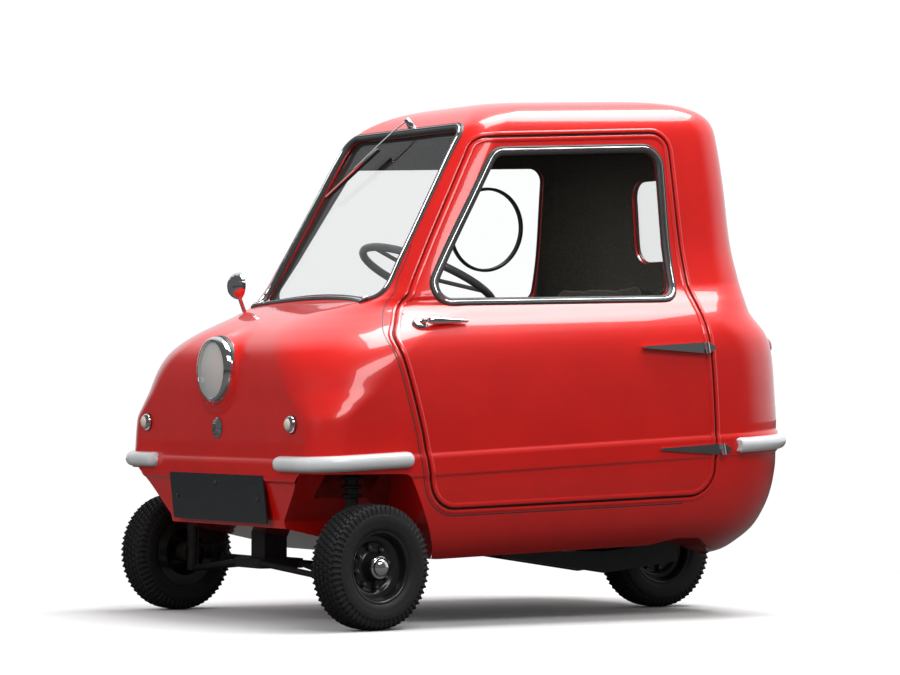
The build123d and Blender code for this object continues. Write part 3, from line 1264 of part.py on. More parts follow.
pieces = {
    "lower_tub": lower_tub.part,
    "upper_shell": upper_shell.part,
    "door": door.part,
    "windscreen": windscreen.part,
    "rear_window": rear_window.part,
    "door_glass": door_glass.part,
    "right_window": right_window.part,
    "headlamp_bezel": headlamp_bezel.part,
    "headlamp_lens": headlamp_lens.part,
    "lock_disc": lock_disc.part,
    "side_lamps": side_lamps.part,
    "tail_lamps": tail_lamps.part,
    "front_bumperettes": front_bumperettes.part,
    "rear_bumperettes": rear_bumperettes.part,
    "front_plate": front_plate.part,
    "rear_plate": rear_plate.part,
    "door_hinges": door_hinges.part,
    "hinge_bases": hinge_bases.part,
    "door_handle": door_handle.part,
    "wing_mirror": wing_mirror.part,
    "wiper": wiper.part,
    "track_rod": track_rod.part,
    "front_legs": front_legs.part,
    "front_springs": front_springs.part,
    "front_crossmember": front_crossmember.part,
    "wishbones": wishbones.part,
    "swing_arm": swing_arm.part,
    "pivot_bracket": pivot_bracket.part,
    "engine": engine.part,
    "seat_box": seat_box.part,
    "seat_cushion": seat_cushion.part,
    "seat_back": seat_back.part,
    "steering_wheel": steering_wheel.part,
    "steering_column": steering_column.part,
    "left_knuckle": make_knuckle(left_kingpin, steer_dir),
    "right_knuckle": make_knuckle(right_kingpin, -steer_dir),
}
for name, (centre, out) in wheels.items():
    pieces[name + "_tyre"] = make_tyre(centre, out)
    pieces[name + "_rim"] = make_rim(centre, out)
    if name != "rear":
        pieces[name + "_hub_cap"] = make_cap(centre, out)
for name, piece in pieces.items():
    piece.label = name
    export_step(piece, "parts/" + name + ".step")

print("kingpin", left_kingpin, "left", left_centre, "right", right_centre, "dir", steer_dir)
print("balls", ball_left, ball_right, "hinge", hinge_low, hinge_axis, "steering", steering_centre, steering_up)
print("plates", front_plate_centre, PLATE_LEAN)
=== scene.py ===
import math

import bpy
import numpy as np
import mathutils
from mathutils.bvhtree import BVHTree
from mathutils import Matrix, Vector


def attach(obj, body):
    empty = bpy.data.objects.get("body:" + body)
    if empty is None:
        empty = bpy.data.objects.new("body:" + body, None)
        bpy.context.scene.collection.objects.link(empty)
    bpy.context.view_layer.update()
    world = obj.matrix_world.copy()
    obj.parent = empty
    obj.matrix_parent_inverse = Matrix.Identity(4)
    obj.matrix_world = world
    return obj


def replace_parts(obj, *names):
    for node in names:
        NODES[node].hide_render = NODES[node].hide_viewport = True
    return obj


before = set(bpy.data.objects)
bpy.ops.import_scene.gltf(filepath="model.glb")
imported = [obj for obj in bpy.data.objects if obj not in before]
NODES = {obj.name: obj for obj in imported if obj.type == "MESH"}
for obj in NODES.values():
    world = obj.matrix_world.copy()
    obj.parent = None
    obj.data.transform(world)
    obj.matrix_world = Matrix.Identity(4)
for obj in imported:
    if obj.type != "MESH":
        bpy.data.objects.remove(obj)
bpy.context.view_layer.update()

# The body's section table, in metres, from the keel to the roof: height, front, rear, half width,
# front corner radius, rear corner radius
SECTIONS = np.array([
    (0.0955, -0.840, 0.815, 0.600, 0.286, 0.320),
    (0.104, -0.870, 0.858, 0.700, 0.330, 0.370),
    (0.1245, -0.900, 0.899, 0.800, 0.370, 0.420),
    (0.149, -0.920, 0.930, 0.880, 0.400, 0.450),
    (0.178, -0.935, 0.948, 0.935, 0.415, 0.465),
    (0.2075, -0.945, 0.964, 0.965, 0.415, 0.472),
    (0.241, -0.958, 0.974, 0.985, 0.350, 0.475),
    (0.278, -0.973, 0.979, 0.997, 0.200, 0.477),
    (0.304, -0.985, 0.978, 1.000, 0.135, 0.477),
    (0.357, -0.985, 0.980, 1.001, 0.145, 0.477),
    (0.407, -0.984, 0.973, 1.001, 0.165, 0.475),
    (0.437, -0.983, 0.968, 1.000, 0.250, 0.470),
    (0.465, -0.982, 0.963, 0.997, 0.338, 0.465),
    (0.492, -0.978, 0.955, 0.992, 0.393, 0.455),
    (0.5145, -0.971, 0.943, 0.984, 0.440, 0.445),
    (0.533, -0.960, 0.925, 0.973, 0.485, 0.435),
    (0.548, -0.943, 0.903, 0.958, 0.525, 0.420),
    (0.561, -0.920, 0.883, 0.940, 0.560, 0.400),
    (0.5735, -0.890, 0.868, 0.919, 0.590, 0.375),
    (0.585, -0.850, 0.860, 0.896, 0.600, 0.345),
    (0.597, -0.797, 0.855, 0.872, 0.585, 0.320),
    (0.608, -0.738, 0.852, 0.848, 0.520, 0.300),
    (0.619, -0.668, 0.850, 0.827, 0.390, 0.285),
    (0.629, -0.610, 0.848, 0.812, 0.250, 0.278),
    (0.640, -0.582, 0.846, 0.802, 0.200, 0.275),
    (0.705, -0.510, 0.832, 0.761, 0.170, 0.270),
    (0.830, -0.382, 0.815, 0.722, 0.158, 0.260),
    (0.913, -0.297, 0.796, 0.695, 0.150, 0.250),
    (0.934, -0.273, 0.789, 0.685, 0.150, 0.247),
    (0.951, -0.250, 0.777, 0.670, 0.153, 0.244),
    (0.967, -0.215, 0.753, 0.643, 0.162, 0.242),
    (0.978, -0.184, 0.724, 0.607, 0.176, 0.240),
    (0.987, -0.150, 0.686, 0.556, 0.190, 0.238),
    (0.994, -0.110, 0.626, 0.475, 0.190, 0.225),
    (0.9985, -0.065, 0.553, 0.375, 0.170, 0.195),
    (1.000, -0.020, 0.490, 0.280, 0.140, 0.160),
]) * np.array([1.205, 0.680, 0.680, 0.482, 0.482, 0.482])
RAKE = math.radians(2.86)
TAN, SIN, COS = math.tan(RAKE), math.sin(RAKE), math.cos(RAKE)
WALL = 0.012
BELT = 0.304 * 1.205 - 0.003
DOOR_GAP = 0.006


def monotone_curve(table, count):
    """Smooth curve through the rows that never overshoots them, sampled evenly along its length."""
    step = np.linalg.norm(np.diff(table[:, :4], axis=0), axis=1)
    t = np.concatenate([[0], np.cumsum(step)])
    slope = np.diff(table, axis=0) / step[:, None]
    tangent = np.zeros_like(table)
    same = slope[:-1] * slope[1:] > 0
    w1 = (2 * step[1:] + step[:-1])[:, None]
    w2 = (step[1:] + 2 * step[:-1])[:, None]
    with np.errstate(divide="ignore", invalid="ignore"):
        mean = (w1 + w2) / (w1 / slope[:-1] + w2 / slope[1:])
    tangent[1:-1] = np.where(same, mean, 0)
    tangent[0], tangent[-1] = slope[0], slope[-1]
    at = np.linspace(0, t[-1], count)
    i = np.clip(np.searchsorted(t, at, side="right") - 1, 0, len(step) - 1)
    h = step[i][:, None]
    u = (at - t[i])[:, None] / h
    return ((1 + 2 * u) * (1 - u) ** 2 * table[i] + u * (1 - u) ** 2 * h * tangent[i]
            + u * u * (3 - 2 * u) * table[i + 1] + u * u * (u - 1) * h * tangent[i + 1])


CURVE = monotone_curve(SECTIONS, 2400)
# The belt stands proud of the panels above and below it
PLAIN = CURVE.copy()
SWAGE = 0.0035 * np.interp(CURVE[:, 0], [0.3545, 0.3595, 0.4030, 0.4090], [0, 1, 1, 0])
CURVE[:, 1] -= SWAGE
CURVE[:, 2] += SWAGE
CURVE[:, 3] += SWAGE


def section(height, table=CURVE):
    return [np.interp(height, table[:, 0], table[:, c]) for c in range(1, 6)]


def outside(p, table=CURVE):
    """Distance of points from the body's skin, measured in the raked plane of each; minus is inside."""
    x, y, z = np.abs(p[:, 0]), p[:, 1] / COS, p[:, 2] - p[:, 1] * TAN
    front, rear, half, round_front, round_rear = section(z, table)
    plain = np.maximum.reduce([x - half, front - y, y - rear])
    result = plain
    for r, across, along in ((round_front, x - (half - round_front), front + round_front - y),
                             (round_rear, x - (half - round_rear), y - (rear - round_rear))):
        corner = (across > 0) & (along > 0)
        result = np.where(corner, np.hypot(across, along) - r, result)
    return result


HEADLAMP = Vector((0, -0.661, 0.574))
HEADLAMP_RADIUS = 0.077
COWL_BLEND = 0.030


def with_cowl(p):
    """The same distance, with the headlamp's cowl blended into the nose."""
    body = outside(p)
    lamp = np.maximum(np.hypot(p[:, 0], p[:, 2] - HEADLAMP.z) - HEADLAMP_RADIUS - 0.001, HEADLAMP.y - p[:, 1])
    mix = np.where(p[:, 1] < 0, np.clip(0.5 + 0.5 * (body - lamp) / COWL_BLEND, 0, 1), 0)
    return body * (1 - mix) + lamp * mix - COWL_BLEND * mix * (1 - mix)


def gradient(field, p, step=0.0006):
    g = np.empty_like(p)
    for axis in range(3):
        move = np.zeros(3)
        move[axis] = step
        g[:, axis] = field(p + move) - field(p - move)
    return g / np.maximum(np.linalg.norm(g, axis=1), 1e-9)[:, None]


def edge_distance(points, outline):
    """Signed distance of 2-D points from a closed outline; minus is inside."""
    a, b = outline, np.roll(outline, -1, axis=0)
    best = np.full(len(points), 1e9)
    inside = np.zeros(len(points), bool)
    for (ax, ay), (bx, by) in zip(a, b):
        ex, ey = bx - ax, by - ay
        px, py = points[:, 0] - ax, points[:, 1] - ay
        t = np.clip((px * ex + py * ey) / (ex * ex + ey * ey + 1e-18), 0, 1)
        best = np.minimum(best, (px - ex * t) ** 2 + (py - ey * t) ** 2)
        if ay != by:
            crosses = (ay > points[:, 1]) != (by > points[:, 1])
            inside ^= crosses & (points[:, 0] < ex * (points[:, 1] - ay) / (by - ay) + ax)
    return np.where(inside, -1, 1) * np.sqrt(best)


def rounded(corners, radii, per_corner=14):
    """Closed outline with its own radius at each corner."""
    out = []
    count = len(corners)
    for i in range(count):
        c = Vector(corners[i])
        before = (Vector(corners[i - 1]) - c).normalized()
        after = (Vector(corners[(i + 1) % count]) - c).normalized()
        half = before.angle(after) / 2
        middle = c + (before + after).normalized() * (radii[i] / math.sin(half))
        start = c + before * (radii[i] / math.tan(half)) - middle
        stop = c + after * (radii[i] / math.tan(half)) - middle
        turn = start.angle_signed(stop)
        for k in range(per_corner + 1):
            v = start.copy()
            v.rotate(Matrix.Rotation(-turn * k / per_corner, 2))
            out.append(middle + v)
    return np.array([tuple(v) for v in out])


def resample(outline, spacing):
    loop = np.vstack([outline, outline[:1]])
    t = np.concatenate([[0], np.cumsum(np.linalg.norm(np.diff(loop, axis=0), axis=1))])
    at = np.linspace(0, t[-1], max(8, int(t[-1] / spacing)) + 1)[:-1]
    return np.stack([np.interp(at, t, loop[:, k]) for k in range(loop.shape[1])], axis=1)


# Outlines on the car's side, in shares of the door's length and height, then corner radius in shares
# of its length
DOOR_Y = (-0.460, 0.378)
DOOR_Z = (0.266, 1.133)
DOOR_SPAN = DOOR_Y[1] - DOOR_Y[0]
DOOR_CORNERS = [(0.000, 0.437, 0.04), (0.067, 0.200, 0.30), (0.108, 0.000, 0.075), (0.998, 0.028, 0.075),
                (1.000, 0.200, 0.20), (0.955, 1.000, 0.050), (0.340, 0.966, 0.055), (0.105, 0.547, 0.04)]
WINDOW_CORNERS = [(0.150, 0.537, 0.035), (0.924, 0.557, 0.040), (0.920, 0.953, 0.045), (0.395, 0.926, 0.045)]
RIGHT_CORNERS = [(0.150, 0.537, 0.035), (1.054, 0.557, 0.040), (1.050, 0.953, 0.045), (0.395, 0.926, 0.045)]


def side_outline(corners):
    spots = [(DOOR_Y[0] + u * DOOR_SPAN, DOOR_Z[0] + v * (DOOR_Z[1] - DOOR_Z[0])) for u, v, r in corners]
    return rounded(spots, [r * DOOR_SPAN for u, v, r in corners])


door_outline = side_outline(DOOR_CORNERS)
window_outline = side_outline(WINDOW_CORNERS)
right_outline = side_outline(RIGHT_CORNERS)
ROW = SECTIONS[25]
NEXT = SECTIONS[26]
SIDE_SLOPE = (NEXT[3] - ROW[3]) / (NEXT[0] - ROW[0])
SCREEN_SLOPE = (NEXT[1] - ROW[1]) / (NEXT[0] - ROW[0])
BACK_SLOPE = (NEXT[2] - ROW[2]) / (NEXT[0] - ROW[0])


def screen_y(z):
    return (ROW[1] + SCREEN_SLOPE * (z - ROW[0])) / (1 + SCREEN_SLOPE * SIN)


def back_y(z):
    return (ROW[2] + BACK_SLOPE * (z - ROW[0])) / (1 + BACK_SLOPE * SIN)


def wall_frame(origin, x_dir, normal):
    x_dir, normal = Vector(x_dir).normalized(), Vector(normal).normalized()
    return Vector(origin), x_dir, normal.cross(x_dir), normal


SCREEN_LOW, SCREEN_HIGH = 0.729, 1.132
SCREEN_MIDDLE = (SCREEN_LOW + SCREEN_HIGH) / 2
SCREEN = wall_frame((0, screen_y(SCREEN_MIDDLE), SCREEN_MIDDLE), (1, 0, 0), (0, -1, SCREEN_SLOPE))
BACK_MIDDLE = (0.845 + 1.050) / 2
BACK = wall_frame((0, back_y(BACK_MIDDLE), BACK_MIDDLE), (-1, 0, 0), (0, 1, -BACK_SLOPE))


def screen_outline():
    low = (SCREEN_LOW - SCREEN_MIDDLE) / SCREEN[2].z
    top = (SCREEN_HIGH - SCREEN_MIDDLE) / SCREEN[2].z
    hump = [(0.281 * math.sin(a), low + 0.022 * (1 - (math.sin(a)) ** 2)) for a in np.linspace(-1.35, 1.35,
          15)]
    corners = [(-0.281, low)] + hump + [(0.281, low), (0.259, top), (-0.259, top)]
    radii = [0.030] + [0.004] * len(hump) + [0.030] * 3
    return rounded(corners, radii, 8)


def back_outline():
    half, tall = 0.115, (1.050 - 0.845) / 2
    return rounded([(-half, -tall), (half, -tall), (half, tall), (-half, tall)], [0.045] * 4)


def in_frame(p, f):
    d = p - np.array(f[0])
    return np.stack([d @ np.array(f[1]), d @ np.array(f[2]), d @ np.array(f[3])], axis=1)


def window_field(p, f, outline):
    local = in_frame(p, f)
    return np.where(np.abs(local[:, 2]) < 0.08, edge_distance(local[:, :2], outline), 1.0)


def side_field(p, outline, sign):
    return np.where(sign * p[:, 0] > 0.15, edge_distance(p[:, 1:], outline), 1.0)


# Cuts in the lower tub: the arches, the underside and the rear wheel's housing
UNDERSIDE = np.array([(-0.72, 0.222), (-0.655, 0.222), (-0.330, 0.150), (0.250, 0.170), (0.318, 0.186),
                      (0.385, 0.186), (0.430, 0.165), (0.506, 0.1435), (0.5061, -0.04), (0.8, -0.05)])
ARCH = np.array([(-0.720, -0.04), (-0.720, 0.344), (-0.437, 0.344), (-0.342, 0.150), (-0.342, -0.04)])


def arch_field(p, grow=0.0):
    """Minus inside the room for a front wheel."""
    x, z = np.abs(p[:, 0]), p[:, 2]
    wall = edge_distance(p[:, 1:], ARCH_ROUND) - grow
    inner = np.interp(z, [0.237, 0.344], [0.283, 0.400]) - grow - x
    arch = np.maximum(wall, inner)
    tower = np.maximum.reduce([np.abs(p[:, 1] + 0.534) - 0.070 - grow, 0.330 - grow - x, x - 0.458 - grow,
                               z - 0.425 - grow, 0.288 - z])
    return np.minimum(arch, tower)


ARCH_ROUND = rounded([tuple(v) for v in ARCH], [0.001, 0.028, 0.028, 0.001, 0.001], 6)


def under_field(p, grow=0.0):
    floor_line = p[:, 2] - np.interp(p[:, 1], UNDERSIDE[:, 0], UNDERSIDE[:, 1]) - grow
    tail = np.maximum.reduce([np.abs(p[:, 0]) - 0.230 - grow, p[:, 2] - 0.186 - grow, 0.318 - p[:, 1]])
    return np.minimum(floor_line, tail)


def house_field(p, grow=0.0):
    x = np.abs(p[:, 0]) - 0.084 - grow
    tall = p[:, 2] - 0.1393
    across = np.where(tall > 0, np.hypot(p[:, 1] - 0.534, tall), np.abs(p[:, 1] - 0.534)) - 0.165 - grow
    return np.maximum(x, across)


def ring_points(height, row):
    """One section of the skin as a closed loop of points."""
    front, rear, half, round_front, round_rear = row
    loop = []

    def line(a, b, n):
        for k in range(n):
            loop.append((a[0] + (b[0] - a[0]) * k / n, a[1] + (b[1] - a[1]) * k / n))

    def arc(cx, cy, r, start, n):
        for k in range(n):
            a = math.radians(start + 90 * k / n)
            loop.append((cx + r * math.cos(a), cy + r * math.sin(a)))

    flat, flat_rear = half - round_front, half - round_rear
    line((-flat, front), (flat, front), 56)
    arc(flat, front + round_front, round_front, -90, 22)
    line((half, front + round_front), (half, rear - round_rear), 84)
    arc(flat_rear, rear - round_rear, round_rear, 0, 26)
    line((flat_rear, rear), (-flat_rear, rear), 44)
    arc(-flat_rear, rear - round_rear, round_rear, 90, 26)
    line((-half, rear - round_rear), (-half, front + round_front), 84)
    arc(-flat, front + round_front, round_front, 180, 22)
    return [(x, y * COS, height + y * SIN) for x, y in loop]


def skin_grid(start, stop, count, cap):
    """Rings of the smooth skin from one height share of the curve to another."""
    extra = np.searchsorted(CURVE[:, 0], [0.3545, 0.3570, 0.3595, 0.4030, 0.4050, 0.4070, 0.4090])
    rows = np.concatenate([np.linspace(start, stop, count).astype(int), extra])
    rows = np.unique(rows[(rows >= start) & (rows <= stop)])
    rings = [ring_points(CURVE[i, 0], CURVE[i, 1:]) for i in rows]
    if cap:
        top = np.array(rings[-1])
        middle = top.mean(axis=0)
        for share in (0.93, 0.82, 0.66, 0.46, 0.24, 0.04):
            rings.append([tuple(middle + (v - middle) * share) for v in top])
    around = len(rings[0])
    points = np.array(rings).reshape(-1, 3)
    faces = []
    for r in range(len(rings) - 1):
        for k in range(around):
            n = (k + 1) % around
            faces.append((r * around + k, r * around + n, (r + 1) * around + n, (r + 1) * around + k))
    if cap:
        faces.append(tuple((len(rings) - 1) * around + k for k in range(around)))
    return points, faces


def clip(points, faces, field):
    """Keeps the side where the field is positive and cuts the faces along its zero line."""
    value = field(points)
    value = np.where(np.abs(value) < 1e-7, 1e-7, value)
    new_points, cut, kept = [], {}, []
    for face in faces:
        signs = [value[i] > 0 for i in face]
        if all(signs):
            kept.append(face)
        elif any(signs):
            poly = []
            for k, i in enumerate(face):
                j = face[(k + 1) % len(face)]
                if value[i] > 0:
                    poly.append(i)
                if (value[i] > 0) != (value[j] > 0):
                    key = (min(i, j), max(i, j))
                    if key not in cut:
                        a, b = key
                        t = value[a] / (value[a] - value[b])
                        cut[key] = len(points) + len(new_points)
                        new_points.append(points[a] + (points[b] - points[a]) * t)
                    poly.append(cut[key])
            if len(poly) > 2:
                kept.append(tuple(poly))
    points = np.vstack([points, np.array(new_points)]) if new_points else points
    used = sorted({i for face in kept for i in face})
    order = {old: new for new, old in enumerate(used)}
    return points[used], [tuple(order[i] for i in face) for face in kept]


def mesh_object(name, points, faces, materials, body, smooth=True, normals=None, indices=None):
    mesh = bpy.data.meshes.new(name)
    mesh.from_pydata([tuple(map(float, p)) for p in points], [], [tuple(map(int, f)) for f in faces])
    for m in materials:
        mesh.materials.append(m)
    if indices is not None:
        mesh.polygons.foreach_set("material_index", np.array(indices, dtype=np.int32))
    mesh.polygons.foreach_set("use_smooth", np.full(len(mesh.polygons), smooth))
    mesh.update()
    if normals is not None:
        mesh.normals_split_custom_set_from_vertices([tuple(map(float, n)) for n in normals])
    obj = bpy.data.objects.new(name, mesh)
    bpy.context.scene.collection.objects.link(obj)
    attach(obj, body)
    return obj


# Materials ---------------------------------------------------------------------------------------
def add_node(tree, kind, settings=None, **inputs):
    made = tree.nodes.new("ShaderNode" + kind)
    for key, value in (settings or {}).items():
        setattr(made, key, value)
    for key, value in inputs.items():
        made.inputs[key.replace("_", " ")].default_value = value
    return made


def material(name, color, roughness=0.5, metallic=0.0, coat=0.0, **more):
    m = bpy.data.materials.new(name)
    m.use_nodes = True
    shader = m.node_tree.nodes["Principled BSDF"]
    shader.inputs["Base Color"].default_value = (*color, 1)
    shader.inputs["Roughness"].default_value = roughness
    shader.inputs["Metallic"].default_value = metallic
    shader.inputs["Coat Weight"].default_value = coat
    shader.inputs["Coat Roughness"].default_value = 0.03
    for key, value in more.items():
        shader.inputs[key.replace("_", " ")].default_value = value
    return m


def add_noise(m, scale, bump=0.0, distance=0.001, color=None, low=0.35, high=0.65, detail=4.0, rough=None):
    """Fine mottling of a material's colour, roughness and surface, in the piece's own coordinates."""
    tree = m.node_tree
    shader = tree.nodes["Principled BSDF"]
    place = add_node(tree, "TexCoord")
    noise = add_node(tree, "TexNoise", Scale=scale, Detail=detail)
    tree.links.new(place.outputs["Object"], noise.inputs["Vector"])
    if color:
        ramp = add_node(tree, "ValToRGB")
        ramp.color_ramp.elements[0].position = low
        ramp.color_ramp.elements[1].position = high
        ramp.color_ramp.elements[0].color = shader.inputs["Base Color"].default_value
        ramp.color_ramp.elements[1].color = (*color, 1)
        tree.links.new(noise.outputs["Fac"], ramp.inputs["Fac"])
        tree.links.new(ramp.outputs["Color"], shader.inputs["Base Color"])
    if rough:
        spread = add_node(tree, "MapRange", To_Min=rough[0], To_Max=rough[1])
        tree.links.new(noise.outputs["Fac"], spread.inputs["Value"])
        tree.links.new(spread.outputs["Result"], shader.inputs["Roughness"])
    if bump:
        relief = add_node(tree, "Bump", Strength=bump, Distance=distance)
        tree.links.new(noise.outputs["Fac"], relief.inputs["Height"])
        tree.links.new(relief.outputs["Normal"], shader.inputs["Normal"])
    return m


RED = add_noise(material("red_gelcoat", (0.78, 0.0070, 0.0030), 0.34, coat=0.9),
      9, color=(0.72, 0.0060, 0.0028),
                bump=0.012, distance=0.0006, detail=2.0)
# Darker, rougher copy of the body red for the arches, underside and the panels' hidden faces; its darkness is
# painted shade
RED_SHADED_INSIDE = add_noise(material("red_moulding_painted_shade", (0.42, 0.008, 0.008), 0.55), 60, color=(0.32, 0.006, 0.006),
                       bump=0.3, distance=0.0008)
FELT = add_noise(material("felt_lining", (0.100, 0.094, 0.078), 0.95), 260, color=(0.150, 0.140, 0.115),
                 bump=0.5, distance=0.0015)
CHROME = add_noise(material("bright_chrome", (0.86, 0.86, 0.87), 0.06, 1.0), 40, rough=(0.03, 0.10))
RUBBER = add_noise(material("seal_rubber", (0.035, 0.036, 0.037), 0.42), 220, color=(0.05, 0.05, 0.05),
      bump=0.15)
TYRE = add_noise(material("tyre_rubber", (0.012, 0.012, 0.013), 0.62), 180, color=(0.020, 0.020, 0.020),
                 bump=0.25, distance=0.0006)
BLACK = add_noise(material("black_enamel", (0.010, 0.010, 0.011), 0.28, coat=0.4),
      60, color=(0.016, 0.016, 0.017))
FRAME_BLACK = add_noise(material("chassis_black", (0.012, 0.012, 0.012), 0.5),
      90, color=(0.022, 0.020, 0.018),
                        bump=0.2)
STEEL = add_noise(material("worn_steel", (0.35, 0.34, 0.33), 0.38, 1.0), 90, color=(0.22, 0.21, 0.20),
      rough=(0.3, 0.5))
ALLOY = add_noise(material("cast_alloy", (0.42, 0.42, 0.42), 0.5, 1.0), 120, bump=0.4, rough=(0.4, 0.6))
WHITE = add_noise(material("white_trim", (0.80, 0.81, 0.82), 0.25, coat=0.5), 30, color=(0.76, 0.77, 0.78))
PLATE = add_noise(material("plate_enamel", (0.012, 0.015, 0.018), 0.3, coat=0.6),
      50, color=(0.018, 0.022, 0.026))
CLOTH = add_noise(material("seat_cloth", (0.075, 0.068, 0.058), 0.9), 420, color=(0.130, 0.118, 0.098),
      bump=0.6)
PIPING = add_noise(material("pale_piping", (0.19, 0.18, 0.14), 0.7), 200, color=(0.15, 0.14, 0.11))
GREY = add_noise(material("steering_grey", (0.10, 0.10, 0.105), 0.3, coat=0.4), 60, color=(0.12, 0.12, 0.125))
RED_LENS = add_noise(material("red_lens", (0.45, 0.004, 0.006), 0.12, coat=1.0),
      30, color=(0.38, 0.003, 0.005))
DOME = add_noise(material("milk_dome", (0.80, 0.70, 0.60), 0.22, coat=1.0), 60, color=(0.86, 0.74, 0.64))
NUT = add_noise(material("dark_nuts", (0.035, 0.036, 0.037), 0.35, 0.6), 90, color=(0.07, 0.07, 0.07),
      rough=(0.3, 0.5))
REFLECTOR = add_noise(material("reflector", (0.80, 0.80, 0.80), 0.16, 1.0), 60, rough=(0.12, 0.22))


def glass(name, tint, strength):
    """Thin clear glass: sees through, with a faint reflection."""
    m = bpy.data.materials.new(name)
    m.use_nodes = True
    tree = m.node_tree
    tree.nodes.clear()
    out = add_node(tree, "OutputMaterial")
    mix = add_node(tree, "MixShader")
    clear = add_node(tree, "BsdfTransparent", Color=(*tint, 1))
    shine = add_node(tree, "BsdfGlossy", Roughness=0.02)
    edge = add_node(tree, "Fresnel", IOR=1.45)
    power = add_node(tree, "Math", {"operation": "MULTIPLY"})
    power.inputs[1].default_value = strength
    tree.links.new(edge.outputs["Fac"], power.inputs[0])
    tree.links.new(power.outputs["Value"], mix.inputs["Fac"])
    tree.links.new(clear.outputs["BSDF"], mix.inputs[1])
    tree.links.new(shine.outputs["BSDF"], mix.inputs[2])
    tree.links.new(mix.outputs["Shader"], out.inputs["Surface"])
    return m


GLASS = glass("window_glass", (0.992, 0.997, 0.995), 0.24)
LENS = glass("lamp_glass", (0.93, 0.95, 0.95), 0.8)
tree = LENS.node_tree
scatter = add_node(tree, "BsdfDiffuse", Color=(0.94, 0.96, 0.93, 1))
veil = add_node(tree, "MixShader", Fac=0.62)
tree.links.new(next(n for n in tree.nodes if n.type == "BSDF_TRANSPARENT").outputs["BSDF"], veil.inputs[1])
tree.links.new(scatter.outputs["BSDF"], veil.inputs[2])
tree.links.new(veil.outputs["Shader"],
      next(n for n in tree.nodes if n.type == "MIX_SHADER" and n != veil).inputs[1])

CAD_MATERIALS = {
    "headlamp_bezel": CHROME, "headlamp_lens": LENS, "lock_disc": CHROME, "side_lamps": CHROME,
    "tail_lamps": RED_LENS, "front_bumperettes": WHITE, "rear_bumperettes": WHITE, "front_plate": PLATE,
    "rear_plate": PLATE, "door_hinges": CHROME, "hinge_bases": CHROME, "door_handle": CHROME,
    "wing_mirror": CHROME, "wiper": CHROME, "track_rod": FRAME_BLACK, "front_legs": FRAME_BLACK,
    "front_springs": FRAME_BLACK, "front_crossmember": FRAME_BLACK, "wishbones": FRAME_BLACK,
    "swing_arm": BLACK, "pivot_bracket": FRAME_BLACK, "engine": ALLOY, "seat_box": FELT,
    "seat_cushion": CLOTH, "seat_back": CLOTH, "steering_wheel": GREY, "steering_column": FRAME_BLACK,
    "left_knuckle": FRAME_BLACK, "right_knuckle": FRAME_BLACK, "windscreen": GLASS, "rear_window": GLASS,
    "door_glass": GLASS, "right_window": GLASS,
}
for wheel in ("left", "right", "rear"):
    CAD_MATERIALS[wheel + "_tyre"] = TYRE
    CAD_MATERIALS[wheel + "_rim"] = BLACK
    if wheel != "rear":
        CAD_MATERIALS[wheel + "_hub_cap"] = CHROME
for name, look in CAD_MATERIALS.items():
    shown = NODES[name]
    shown.data.materials.clear()
    shown.data.materials.append(look)

# Body panels: the smooth skin, and behind it the edges, inner skin, arches and floor from the frame ---
SPLIT_ROW = int(np.searchsorted(CURVE[:, 0], BELT))
shell_points, shell_faces = skin_grid(SPLIT_ROW, len(CURVE) - 1, 170, True)
tub_points, tub_faces = skin_grid(0, SPLIT_ROW, 60, False)

near = (np.hypot(shell_points[:, 0], shell_points[:, 2] - HEADLAMP.z) < 0.15) & (shell_points[:, 1] < -0.35)
for _ in range(6):
    spots = shell_points[near]
    shell_points[near] = spots - gradient(with_cowl, spots) * with_cowl(spots)[:, None] * 0.8


def door_field(p):
    return side_field(p, door_outline, 1)


def panel(name, points, faces, fields, body, field=outside):
    for f in fields:
        points, faces = clip(points, faces, f)
    return mesh_object(name, points, faces, [RED], body, normals=gradient(field, points))


shell_fields = [
    lambda p: door_field(p) - DOOR_GAP,
    lambda p: side_field(p, right_outline, -1),
    lambda p: window_field(p, SCREEN, screen_outline()),
    lambda p: window_field(p, BACK, back_outline()),
    lambda p: arch_field(p),
    lambda p: np.where(p[:, 1] < -0.5, np.hypot(p[:, 0], p[:, 2] - HEADLAMP.z) - 0.070, 1.0),
]
tub_fields = [lambda p: door_field(p) - DOOR_GAP, arch_field, under_field, house_field]
panel("shell_skin", shell_points, shell_faces, shell_fields, "chassis", with_cowl)
panel("tub_skin", tub_points, tub_faces, tub_fields, "chassis")
door_fields = [lambda p: -door_field(p), lambda p: side_field(p, window_outline, 1)]
panel("door_skin_upper", shell_points, shell_faces, door_fields, "door")
panel("door_skin_lower", tub_points, tub_faces, [lambda p: -door_field(p)], "door")


def in_cabin(p):
    """True on the cabin's side of the walls."""
    return ((outside(p, SECTIONS) < -WALL - 0.001) & (under_field(p, WALL) > 0.001)
            & (arch_field(p, WALL) > 0.001) & (house_field(p, WALL) > 0.001))


def core(node, body):
    """The frame's own panel without its outer skin, lined on the cabin's side."""
    mesh = NODES[node].data
    points = np.array([v.co for v in mesh.vertices])
    faces = [tuple(p.vertices) for p in mesh.polygons]
    centres = np.array([p.center for p in mesh.polygons])
    normals = np.array([p.normal for p in mesh.polygons])
    on_skin = np.abs(outside(points, SECTIONS)) < 0.0005
    along = (gradient(lambda q: outside(q, SECTIONS), centres) * normals).sum(axis=1)
    skin = np.array([all(on_skin[i] for i in f) for f in faces]) & (along > 0.6)
    inner = in_cabin(centres + normals * 0.003)
    rim = np.array([any(on_skin[i] for i in f) for f in faces])
    kept = [k for k in range(len(faces)) if not skin[k]]
    # Faces off the cabin's side and off the rim take the darker red with painted shade
    look = [0 if rim[k] and not inner[k] else 1 if inner[k] else 2 for k in kept]
    obj = mesh_object(node + "_core", points, [faces[k] for k in kept], [RED, FELT, RED_SHADED_INSIDE],
          body,
                      smooth=False, indices=look)
    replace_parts(obj, node)
    return obj


